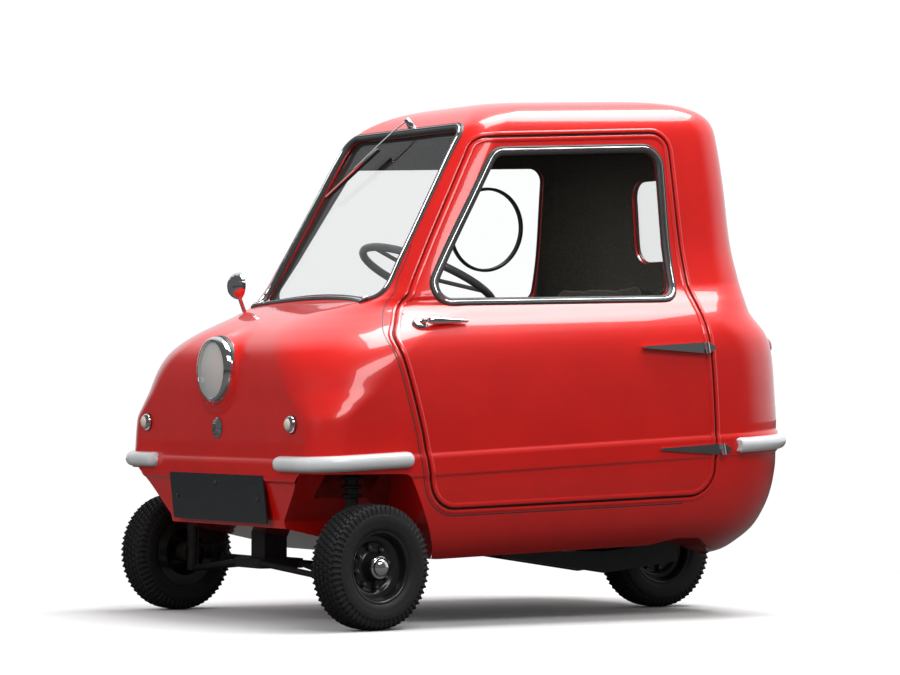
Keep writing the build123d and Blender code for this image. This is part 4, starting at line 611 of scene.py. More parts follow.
core("upper_shell", "chassis")
core("lower_tub", "chassis")
core("door", "door")

# Shapes for trim, wheels and seals ------------------------------------------------------------------
def smooth_mesh(name, points, faces, look, body, sharp=32):
    obj = mesh_object(name, points, faces, [look], body)
    obj.data.set_sharp_from_angle(angle=math.radians(sharp))
    return obj


def basis(axis):
    axis = Vector(axis).normalized()
    side = axis.cross(Vector((0, 0, 1)))
    if side.length < 1e-3:
        side = Vector((1, 0, 0))
    side.normalize()
    return np.array(axis), np.array(side), np.array(axis.cross(side))


def lathe_points(profile, centre, axis, segments=64):
    """Rings of a turned shape; each profile row is the way along the axis, then the radius."""
    a, s, t = basis(axis)
    angle = np.linspace(0, 2 * math.pi, segments, endpoint=False)
    ring = np.outer(np.cos(angle), s) + np.outer(np.sin(angle), t)
    points = np.concatenate([np.array(centre) + a * u + ring * max(r, 1e-5) for u, r in profile])
    faces = []
    for k in range(len(profile) - 1):
        for i in range(segments):
            j = (i + 1) % segments
            faces.append((k * segments + i, k * segments + j, (k + 1) * segments + j, (k + 1) * segments + i))
    return points, faces


def lathe(name, profile, centre, axis, look, body, segments=64, sharp=32):
    return smooth_mesh(name, *lathe_points(profile, centre, axis, segments), look, body, sharp)


def merge(parts):
    points, faces, start = [], [], 0
    for p, f in parts:
        points.append(np.asarray(p))
        faces += [tuple(i + start for i in face) for face in f]
        start += len(p)
    return np.concatenate(points), faces


def sweep_points(path, normals, profile, closed=True, scale=None):
    """A profile carried along a path; each row is the way outwards across it, then along the normal."""
    path, normals = np.asarray(path, float), np.asarray(normals, float)
    if closed:
        tangent = np.roll(path, -1, axis=0) - np.roll(path, 1, axis=0)
    else:
        tangent = np.gradient(path, axis=0)
    tangent /= np.linalg.norm(tangent, axis=1)[:, None]
    normals = normals - (normals * tangent).sum(axis=1)[:, None] * tangent
    normals /= np.linalg.norm(normals, axis=1)[:, None]
    side = np.cross(tangent, normals)
    scale = np.ones(len(path)) if scale is None else scale
    n, m = len(path), len(profile)
    points = []
    for k in range(n):
        for across, out in profile:
            points.append(path[k] + side[k] * across * scale[k] + normals[k] * out * scale[k])
    faces = []
    for k in range(n if closed else n - 1):
        q = (k + 1) % n
        for i in range(m):
            j = (i + 1) % m
            faces.append((k * m + i, k * m + j, q * m + j, q * m + i))
    if not closed:
        faces += [tuple(range(m)), tuple(reversed(range((n - 1) * m, n * m)))]
    return np.array(points), faces


def sweep(name, path, normals, profile, look, body, closed=True, scale=None, sharp=40):
    return smooth_mesh(name, *sweep_points(path, normals, profile, closed, scale), look, body, sharp)


def round_profile(width, height, count=12, base=0.0):
    angle = np.linspace(0, 2 * math.pi, count, endpoint=False)
    return [(width * math.cos(a), base + height * math.sin(a)) for a in angle]


def skin_side(y, z, sign=1):
    """Points of the body's side at given places along and up it."""
    along = y / COS
    height = z - y * TAN
    front, rear, half, round_front, round_rear = section(height)
    x = np.array(half, float)
    for r, d in ((round_front, front + round_front - along), (round_rear, along - (rear - round_rear))):
        x = np.where(d > 0, half - r + np.sqrt(np.maximum(r * r - np.minimum(d, r) ** 2, 0)), x)
    return np.stack([sign * x, y, z], axis=1)


def skin_end(x, z, end):
    """Points of the body's front (end -1) or rear (end 1) at given places across and up it."""
    y = np.zeros(len(x))
    for _ in range(16):
        front, rear, half, round_front, round_rear = section(z - y * TAN)
        r = round_front if end < 0 else round_rear
        d = np.clip(np.abs(x) - (half - r), 0, r)
        reach = r - np.sqrt(np.maximum(r * r - d * d, 0))
        y = ((front + reach) if end < 0 else (rear - reach)) * COS
    return np.stack([x, y, z], axis=1)


def outward(points, step=0.004):
    return gradient(outside, points, step)


def side_loop(outline, sign, spacing=0.008):
    loop = resample(outline, spacing)
    points = skin_side(loop[:, 0], loop[:, 1], sign)
    return points if sign > 0 else points[::-1]


def wall_loop(outline, frame_of, end, spacing=0.008):
    loop = resample(outline, spacing)
    spots = np.array(frame_of[0]) + np.outer(loop[:, 0], frame_of[1]) + np.outer(loop[:, 1], frame_of[2])
    return skin_end(spots[:, 0], spots[:, 2], end)


def facing_out(points, normals):
    """Turns a loop so that its profile's first column runs away from the opening's middle."""
    tangent = np.roll(points, -1, axis=0) - np.roll(points, 1, axis=0)
    side = np.cross(tangent, normals)
    away = ((points - points.mean(axis=0)) * side).sum()
    return (points, normals) if away > 0 else (points[::-1], normals[::-1])


SEAL = [(-0.003, -0.004), (-0.003, 0.0015), (0.000, 0.0042), (0.005, 0.0052), (0.0075, 0.0040),
      (0.0105, 0.0040),
        (0.013, 0.0050), (0.0155, 0.0042), (0.0180, 0.0010), (0.0180, -0.0020)]
INSERT = [(0.0066, 0.0035), (0.0070, 0.0056), (0.0082, 0.0066), (0.0098, 0.0066), (0.0110, 0.0056),
      (0.0114, 0.0035)]


def window_trim(name, loop, body):
    loop, normals = facing_out(loop, outward(loop))
    sweep(name + "_seal", loop, normals, SEAL, RUBBER, body)
    sweep(name + "_insert", loop, normals, INSERT, CHROME, body)


window_trim("windscreen", wall_loop(screen_outline(), SCREEN, -1), "chassis")
window_trim("rear_window", wall_loop(back_outline(), BACK, 1), "chassis")
window_trim("door_window", side_loop(window_outline, 1), "door")
window_trim("right_window", side_loop(right_outline, -1), "chassis")

# Door: rolled edge on the panel, and the black weatherstrip in its gap
door_edge = side_loop(door_outline, 1, 0.007)
door_edge, door_out = facing_out(door_edge, outward(door_edge))
sweep("door_lip", door_edge, door_out, [(-0.011, -0.002), (-0.010, 0.0010), (-0.007, 0.0026),
      (-0.003, 0.0030),
      (-0.0006, 0.0020), (0.0, -0.001), (-0.001, -0.010), (-0.004, -0.010)], RED, "door")
sweep("door_weatherstrip", door_edge, door_out, [(0.0008, -0.010), (0.0012, -0.0035), (0.003, -0.0025),
      (0.0050, -0.0035), (0.0054, -0.010)], RUBBER, "chassis")
sweep("door_frame_lip", door_edge, door_out, [(0.0062, -0.006), (0.0064, 0.0012), (0.0085, 0.0024),
      (0.012, 0.0022),
      (0.0150, 0.0006), (0.0160, -0.003)], RED, "chassis")

# Seat: each pad swells as stuffed cloth from a slightly smaller copy of its solid, then gets seams and piping
PAD_VOXEL = 0.006
PAD_SHRINK = 0.009
PAD_CAP = 0.013


def taken(obj):
    """The mesh that an object shows after its modifiers, as arrays."""
    graph = bpy.context.evaluated_depsgraph_get()
    shown = obj.evaluated_get(graph)
    mesh = bpy.data.meshes.new_from_object(shown)
    points = np.array([v.co for v in mesh.vertices])
    normals = np.array([v.normal for v in mesh.vertices])
    faces = [tuple(f.vertices) for f in mesh.polygons]
    bpy.data.meshes.remove(mesh)
    return points, normals, faces


def loose(points, faces):
    mesh = bpy.data.meshes.new("pad_start")
    mesh.from_pydata([tuple(map(float, v)) for v in points], [], faces)
    obj = bpy.data.objects.new("pad_start", mesh)
    bpy.context.scene.collection.objects.link(obj)
    return obj


def swollen(node):
    """Points and faces of a stuffed pad that starts from the node's own solid."""
    source = NODES[node]
    start = loose([source.matrix_world @ v.co for v in source.data.vertices],
                  [tuple(f.vertices) for f in source.data.polygons])
    remesh = start.modifiers.new("remesh", "REMESH")
    remesh.mode = "VOXEL"
    remesh.voxel_size = PAD_VOXEL
    points, normals, faces = taken(start)
    bpy.data.objects.remove(start)
    points = points - normals * PAD_SHRINK
    pad = loose(points, faces)
    cloth = pad.modifiers.new("cloth", "CLOTH")
    cloth.settings.quality = 5
    cloth.settings.mass = 0.3
    cloth.settings.use_pressure = True
    cloth.settings.uniform_pressure_force = 4.0
    cloth.settings.effector_weights.gravity = 0.0
    cloth.point_cache.frame_start = 1
    cloth.point_cache.frame_end = 20
    for frame_number in range(1, 21):
        bpy.context.scene.frame_set(frame_number)
    blown = taken(pad)[0]
    bpy.data.objects.remove(pad)
    bpy.context.scene.frame_set(1)
    move = blown - points
    reach = np.linalg.norm(move, axis=1)
    return points + move * np.minimum(1, PAD_CAP / np.maximum(reach, 1e-9))[:, None], faces


def folds(points, normals, depth):
    """Soft creases of a slack cover."""
    rise = [mathutils.noise.noise(Vector((p[0] * 9, p[1] * 16, p[2] * 13))) for p in points]
    fine = [mathutils.noise.noise(Vector((p[0] * 34 + 7, p[1] * 21, p[2] * 30))) for p in points]
    return points + normals * (depth * (0.7 * np.array(rise) + 0.3 * np.array(fine)))[:, None]


def stuffed(node, seams, depth, keep):
    """A padded piece: the swollen pad with its creases, sewn channels and kept flat sides."""
    points, faces = swollen(node)
    plain = loose(points, faces)
    normals = taken(plain)[1]
    bpy.data.objects.remove(plain)
    points = folds(points, normals, depth)
    for axis, place in seams:
        away = points @ np.array(axis) - place
        points = points - normals * (0.0055 * np.exp(-(away / 0.009) ** 2))[:, None]
    points = keep(points)
    obj = mesh_object(node + "_pad", points, faces, [CLOTH], "chassis")
    obj.modifiers.new("smooth", "SUBSURF").levels = 1
    obj.modifiers["smooth"].render_levels = 1
    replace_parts(obj, node)
    return points, faces


def piped(name, pad, centre, spots, radius=0.0032):
    """Piping laid on a pad's surface where rays from its middle leave it."""
    tree = BVHTree.FromPolygons([Vector(v) for v in pad[0]], pad[1])
    path, out = [], []
    for spot in spots:
        way = Vector(spot) - Vector(centre)
        far = Vector(centre) + way * 1.4
        hit = tree.ray_cast(far, -way.normalized())[0]
        if hit:
            path.append(hit)
            out.append(way.normalized())
    path = np.array(path)
    for _ in range(3):
        path = (np.roll(path, 1, axis=0) + 2 * path + np.roll(path, -1, axis=0)) / 4
    sweep(name, path, out, round_profile(radius, radius, 10), PIPING, "chassis")


cushion = stuffed("seat_cushion", [((1, 0, 0), -0.070), ((1, 0, 0), 0.070)], 0.0030,
                  lambda p: np.column_stack([p[:, 0], np.minimum(p[:, 1], 0.3705), np.clip(p[:, 2],
                        0.3460, 0.4300)]))
LEAN = math.radians(8)
UP = np.array([0, math.sin(LEAN), math.cos(LEAN)])
BACKWARD = np.array([0, math.cos(LEAN), -math.sin(LEAN)])
BACK_FOOT = np.array([0, 0.372, 0.403])
back_pad = stuffed("seat_back", [((1, 0, 0), -0.068), ((1, 0, 0), 0.068)], 0.0050, lambda p: p)
ring = resample(rounded([(-0.203, 0.012), (0.203, 0.012), (0.203, 0.370), (-0.203, 0.370)], [0.03] * 4),
      0.008)
piped("cushion_piping", cushion, (0, 0.190, 0.405), [(x, y, 0.405) for x, y in ring])
ring = resample(rounded([(-0.203, 0.030), (0.203, 0.030), (0.203, 0.385), (-0.203, 0.385)], [0.04] * 4),
      0.008)
edge_plane = BACK_FOOT - BACKWARD * 0.050
piped("back_piping", back_pad, tuple(edge_plane + UP * 0.20),
      [tuple(edge_plane + UP * v + np.array([u, 0, 0])) for u, v in ring])

# Headlamp: gasket, deep chrome rim, reflector with its bulb, and the fluted glass
LAMP_AXIS = (0, -1, 0)
LAMP_SEAT = (0, -0.661, 0.574)
LAMP_EDGE = 0.0648
FLUTE = 0.0072
lathe("headlamp_gasket", [(-0.004, 0.070), (-0.004, 0.0785), (0.003, 0.0792), (0.007, 0.0782),
      (0.007, 0.070)],
      LAMP_SEAT, LAMP_AXIS, RUBBER, "chassis", 96)
rim = [(0.005, 0.0765), (0.010, 0.0768), (0.016, 0.0758), (0.021, 0.0738), (0.0245, 0.0712), (0.0265, 0.0688),
       (0.0268, 0.0668), (0.0258, 0.0655), (0.0235, 0.0648), (0.016, 0.0645)]
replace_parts(lathe("headlamp_rim", rim, LAMP_SEAT, LAMP_AXIS, CHROME, "chassis", 112),
      "headlamp_bezel")
BOWL_FRONT, BOWL_DEPTH = 0.0185, 0.052
bowl = [(BOWL_FRONT, LAMP_EDGE)]
bowl += [(BOWL_FRONT - BOWL_DEPTH * (1 - (r / LAMP_EDGE) ** 2) ** 0.8, r) for r in np.linspace(0.062, 0.001,
      16)]
lathe("headlamp_reflector", bowl, LAMP_SEAT, LAMP_AXIS, REFLECTOR, "chassis", 96)
lathe("headlamp_bulb", [(-0.030, 0.006), (-0.014, 0.0065), (-0.006, 0.009), (0.001, 0.0085), (0.006, 0.005),
      (0.007, 0.0)],
      LAMP_SEAT, LAMP_AXIS, LENS, "chassis", 24)
glass_rows = [(0.0190 + 0.0118 * (1 - (r / 0.066) ** 2), r) for r in np.linspace(0.0655, 0.0, 28)]
lens_points, lens_faces = lathe_points(glass_rows, LAMP_SEAT, LAMP_AXIS, 120)
flutes = np.cos(lens_points[:, 0] * 2 * math.pi / FLUTE) * 0.00035
flutes *= np.clip((0.062 - np.hypot(lens_points[:, 0], lens_points[:, 2] - LAMP_SEAT[2])) / 0.006, 0, 1)
lens_points[:, 1] -= flutes
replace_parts(smooth_mesh("headlamp_glass", lens_points, lens_faces, LENS, "chassis", 60),
      "headlamp_lens")
lathe("headlamp_screw", [(0.0, 0.0), (0.0, 0.0032), (0.0016, 0.0030), (0.0024, 0.0018), (0.0026, 0.0)],
      (0, -0.6795, LAMP_SEAT[2] - 0.0745), (0, -0.8, -0.6), CHROME, "chassis", 20)

# Side lamps, lock disc and tail lamps
for side, tag in ((1, "left"), (-1, "right")):
    skin = skin_end(np.array([side * 0.361]), np.array([0.452]), -1)[0]
    place = (side * 0.361, float(skin[1]), 0.452)
    front = -place[1]
    reach = 0.687 - front
    lathe("side_lamp_gasket_" + tag, [(-0.012, 0.0190), (-0.012, 0.0212), (0.0022, 0.0212),
          (0.0030, 0.0200), (0.0030, 0.017)],
          place, LAMP_AXIS, RUBBER, "chassis", 48)
    shell = lathe("side_lamp_rim_" + tag, [(0.0015, 0.0198), (0.005, 0.0199), (reach * 0.45, 0.0186),
          (reach * 0.62, 0.0160),
                  (reach * 0.66, 0.0138), (reach * 0.64, 0.0124)],
                  place, LAMP_AXIS, CHROME, "chassis", 56)
    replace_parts(shell, "side_lamps")
    dome = [(reach * 0.55 + reach * 0.43 * math.sin(a), 0.0136 * math.cos(a)) for a in np.linspace(0, 1.57,
          9)]
    lathe("side_lamp_dome_" + tag, dome, place, LAMP_AXIS, DOME, "chassis", 48)
    rear = skin_end(np.array([side * 0.278]), np.array([0.636]), 1)[0]
    out = outward(rear[None, :])[0]
    tall = 0.682 - rear[1]
    place = (side * 0.278, float(rear[1]), 0.636)
    lathe("tail_lamp_gasket_" + tag, [(-0.02, 0.026), (-0.02, 0.0292), (0.0032, 0.0292), (0.0040, 0.0275),
          (0.004, 0.024)],
          place, (0, 1, 0), RUBBER, "chassis", 56)
    lathe("tail_lamp_rim_" + tag, [(0.003, 0.0278), (tall * 0.42, 0.0270), (tall * 0.5, 0.0250),
          (tall * 0.48, 0.0236)],
          place, (0, 1, 0), CHROME, "chassis", 64)
    dome = [(tall * 0.42 + tall * 0.56 * math.sin(a), 0.0246 * math.cos(a)) for a in np.linspace(0, 1.57, 10)]
    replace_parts(lathe("tail_lamp_lens_" + tag, dome, place, (0, 1, 0),
          RED_LENS, "chassis", 56), "tail_lamps")
LOCK_SEAT = (0, -0.6690, 0.441)
lock = [(-0.004, 0.0240), (0.0010, 0.0240), (0.0022, 0.0226), (0.0026, 0.0190), (0.0046, 0.0180),
      (0.0054, 0.0165),
        (0.0056, 0.0125), (0.0076, 0.0116), (0.0086, 0.0100), (0.0086, 0.0036), (0.0060, 0.0030),
        (0.0058, 0.0)]
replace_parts(lathe("lock_rosette", lock, LOCK_SEAT, LAMP_AXIS, CHROME, "chassis", 64, 24),
      "lock_disc")
lathe("lock_gasket", [(-0.004, 0.0250), (0.0006, 0.0250), (0.0006, 0.0235)], LOCK_SEAT, LAMP_AXIS, RUBBER,
      "chassis", 48)
lathe("lock_key_slot", [(0.0050, 0.0032), (0.0066, 0.0030), (0.0068, 0.0)], LOCK_SEAT, LAMP_AXIS, BLACK,
      "chassis", 16)

# Bumperettes: white bands with a D section, round ends and their screws
def belt_path(level, inner_x, side_y, end, side, spacing=0.006):
    """Way along the skin from the inner end, round the corner, to the end on the car's side."""
    front, rear, half, round_front, round_rear = PLAIN_BELT
    r = round_front if end < 0 else round_rear
    tip = front if end < 0 else rear
    spots = [(x, tip) for x in np.arange(inner_x, half - r, spacing)]
    for a in np.arange(0, math.pi / 2, spacing / r):
        spots.append((half - r + r * math.sin(a), tip - end * (r - r * math.cos(a))))
    stop = side_y / COS
    y = tip - end * r
    while (y < stop) if end < 0 else (y > stop):
        spots.append((half, y))
        y -= end * spacing
    spots.append((half, stop))
    spots = resample_open(np.array(spots), spacing)
    return np.array([(side * x, y * COS, level + y * SIN) for x, y in spots])


def resample_open(line, spacing):
    t = np.concatenate([[0], np.cumsum(np.linalg.norm(np.diff(line, axis=0), axis=1))])
    at = np.linspace(0, t[-1], int(t[-1] / spacing) + 1)
    return np.stack([np.interp(at, t, line[:, k]) for k in range(line.shape[1])], axis=1)


PLAIN_BELT = [np.interp(0.357 * 1.205, PLAIN[:, 0], PLAIN[:, c]) for c in range(1, 6)]
BUMPER_D = [(0.018 * math.cos(a), 0.0005 + 0.0228 * math.sin(a) ** 0.75) for a in np.linspace(0.02,
      math.pi - 0.02, 20)]
BUMPER_D = [(0.0165, -0.012)] + BUMPER_D + [(-0.0165, -0.012)]
for end, level, side_y, node in ((-1, 0.398, -0.430, "front_bumperettes"),
      (1, 0.381, 0.443, "rear_bumperettes")):
    parts = []
    screws = []
    for side in (1, -1):
        path = belt_path(level * COS, 0.299, side_y, end, side)
        normals = gradient(lambda q: outside(q, PLAIN), path, 0.002)
        way = np.concatenate([[0], np.cumsum(np.linalg.norm(np.diff(path, axis=0), axis=1))])
        room = np.minimum(way, way[-1] - way)
        scale = np.sqrt(np.clip(1 - (1 - np.clip(room / 0.019, 0, 1)) ** 2, 0.0004, 1))
        parts.append(sweep_points(path, normals, BUMPER_D, False, scale))
        for spot in (3, len(path) - 4):
            screws.append((path[spot] + normals[spot] * 0.0175 * scale[spot], normals[spot]))
    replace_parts(smooth_mesh(node + "_bands", *merge(parts), WHITE, "chassis", 50), node)
    heads = [lathe_points([(-0.004, 0.0044), (0.0006, 0.0044), (0.0020, 0.0034), (0.0026, 0.0018),
          (0.0020, 0.0)],
                          tuple(spot), tuple(out), 20) for spot, out in screws]
    smooth_mesh(node + "_screws", *merge(heads), STEEL, "chassis", 30)

# Wheels: knobbly tyres, pressed rims with their nuts, and domed hub caps
WHEELS = {
    "left": ((0.4575, -0.52348, 0.1393), (0.98796, 0.15471, 0.0)),
    "right": ((-0.4575, -0.54452, 0.1393), (-0.98796, -0.15471, 0.0)),
    "rear": ((0.0, 0.534, 0.1393), (1.0, 0.0, 0.0)),
}
TYRE_R, TYRE_HALF = 0.1393, 0.0445
AROUND = 62


def tyre_mesh(centre, axis):
    """Tyre with rows of blocks on the tread, lugs down the shoulder and ribs on the side."""
    a, s, t = basis(axis)
    outer = []
    for v in np.linspace(0, 1, 9):
        outer.append((0.0345 + 0.0085 * math.sin(v * math.pi / 2), 0.0800 + 0.0160 * v ** 1.4))
    for v in np.linspace(0.12, 1, 7):
        outer.append((0.0430 + 0.0013 * math.sin(v * math.pi), 0.0960 + 0.0205 * v))
    for v in np.linspace(0.15, 1, 8):
        outer.append((0.0430 - 0.0062 * v ** 1.6, 0.1165 + 0.0195 * math.sin(v * math.pi / 2)))
    tread = [(u, 0.1388 - 0.0018 * (u / 0.036) ** 2) for u in np.linspace(0.0345, -0.0345, 41)]
    inner = [(-u, r) for u, r in reversed(outer)]
    profile = outer + tread + inner + [(-0.0330, 0.0762), (0.0330, 0.0762)]
    u = np.array([q[0] for q in profile])
    r = np.array([q[1] for q in profile])
    n = AROUND * 8
    theta = np.linspace(0, 2 * math.pi, n, endpoint=False)
    turn = theta[:, None] * AROUND / (2 * math.pi)
    column = (u[None, :] + 0.0350) / 0.0140
    stagger = np.floor(column) * 0.5
    ahead = (turn + stagger + 0.18 * np.sin(column * 2 * math.pi)) % 1
    across = column % 1
    block = np.minimum(np.minimum(ahead, 1 - ahead) - 0.15, (np.minimum(across, 1 - across) - 0.13) * 1.0)
    groove = 1 - np.clip(block / 0.05, 0, 1)
    on_tread = np.clip((0.0355 - np.abs(u)) / 0.0008, 0, 1) * (r > 0.130)
    depth = 0.0048 * groove * on_tread[None, :]
    lug = np.clip((np.minimum((turn * 1.0) % 1, 1 - (turn * 1.0) % 1) - 0.24) / 0.06, 0, 1)
    shoulder = ((r > 0.1185) & (np.abs(u) > 0.0352)).astype(float)
    depth = depth + 0.0042 * (1 - lug) * shoulder[None, :]
    ribs = ((np.abs(r - 0.1000) < 0.0010) | (np.abs(r - 0.1130) < 0.0010)).astype(float) * 0.0006
    radius = r[None, :] - depth
    wide = u[None, :] + np.sign(u)[None, :] * (ribs[None,
          :] * (r < 0.118) - 0.0022 * (1 - lug) * shoulder[None, :])
    ring = np.cos(theta)[:, None, None] * s + np.sin(theta)[:, None, None] * t
    points = (np.array(centre) + a * wide[:, :, None] + ring * radius[:, :, None]).reshape(-1, 3)
    m = len(profile)
    k = np.arange(n)[:, None] * m + np.arange(m)[None, :]
    right_col = np.roll(k, -1, axis=1)
    faces = np.stack([k, right_col, np.roll(right_col, -1, axis=0), np.roll(k, -1, axis=0)],
          axis=2).reshape(-1, 4)
    return points, [tuple(f) for f in faces]


RIM_PROFILE = [(-0.0372, 0.0560), (-0.0372, 0.0808), (-0.0350, 0.0812), (-0.0335, 0.0795), (-0.0333, 0.0758),
               (0.0333, 0.0758), (0.0335, 0.0795), (0.0350, 0.0812), (0.0368, 0.0808), (0.0372, 0.0790),
               (0.0366, 0.0765), (0.0345, 0.0745), (0.0300, 0.0728), (0.0220, 0.0716), (0.0160, 0.0704),
               (0.0128, 0.0680),
               (0.0120, 0.0640), (0.0116, 0.0600), (0.0096, 0.0570), (0.0062, 0.0545), (0.0040, 0.0510),
               (0.0034, 0.0460),
               (0.0038, 0.0400), (0.0050, 0.0350), (0.0075, 0.0315), (0.0130, 0.0285), (0.0220, 0.0262),
               (0.0310, 0.0244),
               (0.0338, 0.0238), (0.0340, 0.0150)]
for wheel, (centre, axis) in WHEELS.items():
    body = wheel + "_wheel"
    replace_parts(smooth_mesh(wheel + "_tread", *tyre_mesh(centre, axis), TYRE, body, 38),
          wheel + "_tyre")
    a, s, t = basis(axis)
    disc = lathe_points(RIM_PROFILE, centre, axis, 96)
    back = lathe_points([(-0.0372, 0.0560), (-0.0300, 0.0700), (-0.0050, 0.0700), (0.0060, 0.0600),
          (-0.0010, 0.0420),
                         (-0.0010, 0.0240), (-0.0300, 0.0240), (-0.0300, 0.0100)], centre, axis, 96)
    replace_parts(smooth_mesh(wheel + "_pressing", *merge([disc, back]), BLACK, body, 34),
          wheel + "_rim")
    nuts, studs = [], []
    for k in range(8):
        angle = math.radians(45 * k + 12)
        spot = np.array(centre) + (s * math.cos(angle) + t * math.sin(angle)) * 0.0440
        nuts.append(lathe_points([(0.0020, 0.0072), (0.0070, 0.0072), (0.0095, 0.0066), (0.0103, 0.0050),
              (0.0103, 0.0040)],
                                 tuple(spot), axis, 6))
        studs.append(lathe_points([(0.0090, 0.0034), (0.0128, 0.0034), (0.0136, 0.0026), (0.0136, 0.0)],
              tuple(spot), axis, 14))
    smooth_mesh(wheel + "_nuts", *merge(nuts), NUT, body, 30)
    smooth_mesh(wheel + "_studs", *merge(studs), STEEL, body, 30)
    if wheel != "rear":
        cap = [(0.0290, 0.0248), (0.0345, 0.0248), (0.0352, 0.0236), (0.0352, 0.0215)]
        cap += [(0.0350 + 0.0165 * math.sin(x), 0.0212 * math.cos(x)) for x in np.linspace(0.0, 1.57, 14)]
        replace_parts(lathe(wheel + "_dome", cap, centre, axis, CHROME, body, 64, 30),
              wheel + "_hub_cap")

# Door handle: grip on its post, with a base disc
grip = [(0, 0), (0.0006, 0.0030), (0.0025, 0.0056), (0.0070, 0.0078), (0.0140, 0.0088), (0.0240, 0.0089),
      (0.0420, 0.0079),
        (0.0660, 0.0062), (0.0880, 0.0046), (0.1010, 0.0036), (0.1050, 0.0026), (0.1065, 0.0)]
handle_y, handle_z = -0.3735, 0.684
post_foot = skin_side(np.array([handle_y - 0.010]), np.array([handle_z - 0.008]))[0]
post_out = outward(post_foot[None, :])[0]
parts = [lathe_points(grip, (0.447, handle_y, handle_z), (0, 1, 0), 40)]
post_top = np.array([0.447, handle_y - 0.004, handle_z])
away = post_top - post_foot
parts.append(lathe_points([(-0.004, 0.0075), (np.linalg.norm(away) * 0.5, 0.0062), (np.linalg.norm(away),
      0.0058)],
                          tuple(post_foot), tuple(away), 28))
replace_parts(smooth_mesh("handle_grip", *merge(parts), CHROME, "door", 40), "door_handle")
lathe("handle_rosette", [(-0.006, 0.0185), (0.0016, 0.0185), (0.0046, 0.0165), (0.0062, 0.0125),
      (0.0068, 0.0085), (0.0068, 0.0)],
      tuple(post_foot), tuple(post_out), CHROME, "door", 44)

# Wiper: pivot cap, thin arm and a narrow rubber blade in its bright holder
def on_front(x, z, lift):
    spot = skin_end(np.array([x]), np.array([z]), -1)
    return spot[0] + outward(spot)[0] * lift, outward(spot)[0]


WIPER_X, WIPER_HIGH, WIPER_LOW = -0.213, 1.1500, 0.9860
hub, hub_out = on_front(0.0, WIPER_HIGH, 0.0)
cap = lathe_points([(-0.004, 0.0088), (0.010, 0.0088), (0.014, 0.0072), (0.0235, 0.0066), (0.0262, 0.0048),
                    (0.0270, 0.0)], tuple(hub), tuple(hub_out), 32)


def along_wiper(share, lift):
    return on_front(WIPER_X * share, WIPER_HIGH + (WIPER_LOW - WIPER_HIGH) * share, lift)


def wiper_run(start, stop, first, last, profile):
    spots = [along_wiper(start + (stop - start) * k / 24, first + (last - first) * k / 24) for k in range(25)]
    return sweep_points([v[0] for v in spots], [v[1] for v in spots], profile, False)


arm = wiper_run(0.0, 0.62, 0.0200, 0.0150, [(0.0024, -0.001), (0.0024, 0.001), (-0.0024, 0.001),
      (-0.0024, -0.001)])
holder = wiper_run(0.34, 1.0, 0.0120, 0.0120, [(0.0028, 0.0), (0.0020, 0.0020), (-0.0020, 0.0020),
      (-0.0028, 0.0)])
blade = wiper_run(0.33, 1.0, 0.0075, 0.0075, [(0.0007, -0.0045), (0.0026, 0.0030), (0.0026, 0.0046),
      (-0.0026, 0.0046),
                  (-0.0026, 0.0030), (-0.0007, -0.0045)])
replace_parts(smooth_mesh("wiper_arm", *merge([cap, arm, holder]), CHROME, "chassis", 30),
      "wiper")
smooth_mesh("wiper_blade", *blade, RUBBER, "chassis", 30)

# Second groove, round the front and foot of the door's frame: a thin black strip laid on the skin, painted
# shade in place of a recess
GROOVE_OUT = 0.019
turned = np.roll(door_outline, -1, axis=0) - np.roll(door_outline, 1, axis=0)
turned /= np.linalg.norm(turned, axis=1)[:, None]
sideways = np.stack([turned[:, 1], -turned[:, 0]], axis=1)
if ((door_outline - door_outline.mean(axis=0)) * sideways).sum() < 0:
    sideways = -sideways
wider = resample(door_outline + sideways * GROOVE_OUT, 0.007)
low_run = (wider[:, 1] < 0.86) & (wider[:, 0] < 0.30)
first = int(np.where(low_run & ~np.roll(low_run, 1))[0][0])
wider = np.roll(wider, -first, axis=0)[:int(low_run.sum())]
groove = skin_side(wider[:, 0], wider[:, 1], 1)
sweep("door_groove_shade_line", groove, outward(groove), [(-0.0013, -0.002), (-0.0013, 0.0002), (0.0013, 0.0002),
      (0.0013, -0.002)],
      RUBBER, "chassis", closed=False)

# Bolts of both plates
PLATE_BOLT = [(-0.002, 0.0050), (0.0016, 0.0050), (0.0030, 0.0038), (0.0036, 0.0)]
PLATE_LEAN = 0.111
front_bolts = [(x, -0.669 - z * PLATE_LEAN, 0.283 + z) for x, z in ((-0.2, 0.0), (0.0, 0.035), (0.2, 0.0))]
rear_bolts = [(x, 0.676, 0.480) for x in (-0.2, 0.2)]
for name, spots, way in (("front", front_bolts, (0, -0.9939, -0.1104)), ("rear", rear_bolts, (0, 1, 0))):
    bolts = merge([lathe_points(PLATE_BOLT, spot, way, 20) for spot in spots])
    smooth_mesh(name + "_plate_bolts", *bolts, STEEL, "chassis", 30)

# Vent ring in the right window
ring_x = float(skin_side(np.array([0.263]), np.array([0.932]), -1)[0][0]) + 0.004
ring_n = outward(np.array([[ring_x, 0.263, 0.932]]))[0]
lathe("vent_ring", [(0.0010, 0.1000), (0.0040, 0.0985), (0.0060, 0.1010), (0.0060, 0.1035), (0.0030, 0.1060),
      (-0.0060, 0.1060), (-0.0080, 0.1035), (-0.0080, 0.1000), (-0.0050, 0.0985), (0.0010, 0.1000)],
      (ring_x, 0.263, 0.932), tuple(ring_n), RUBBER, "chassis", 96)

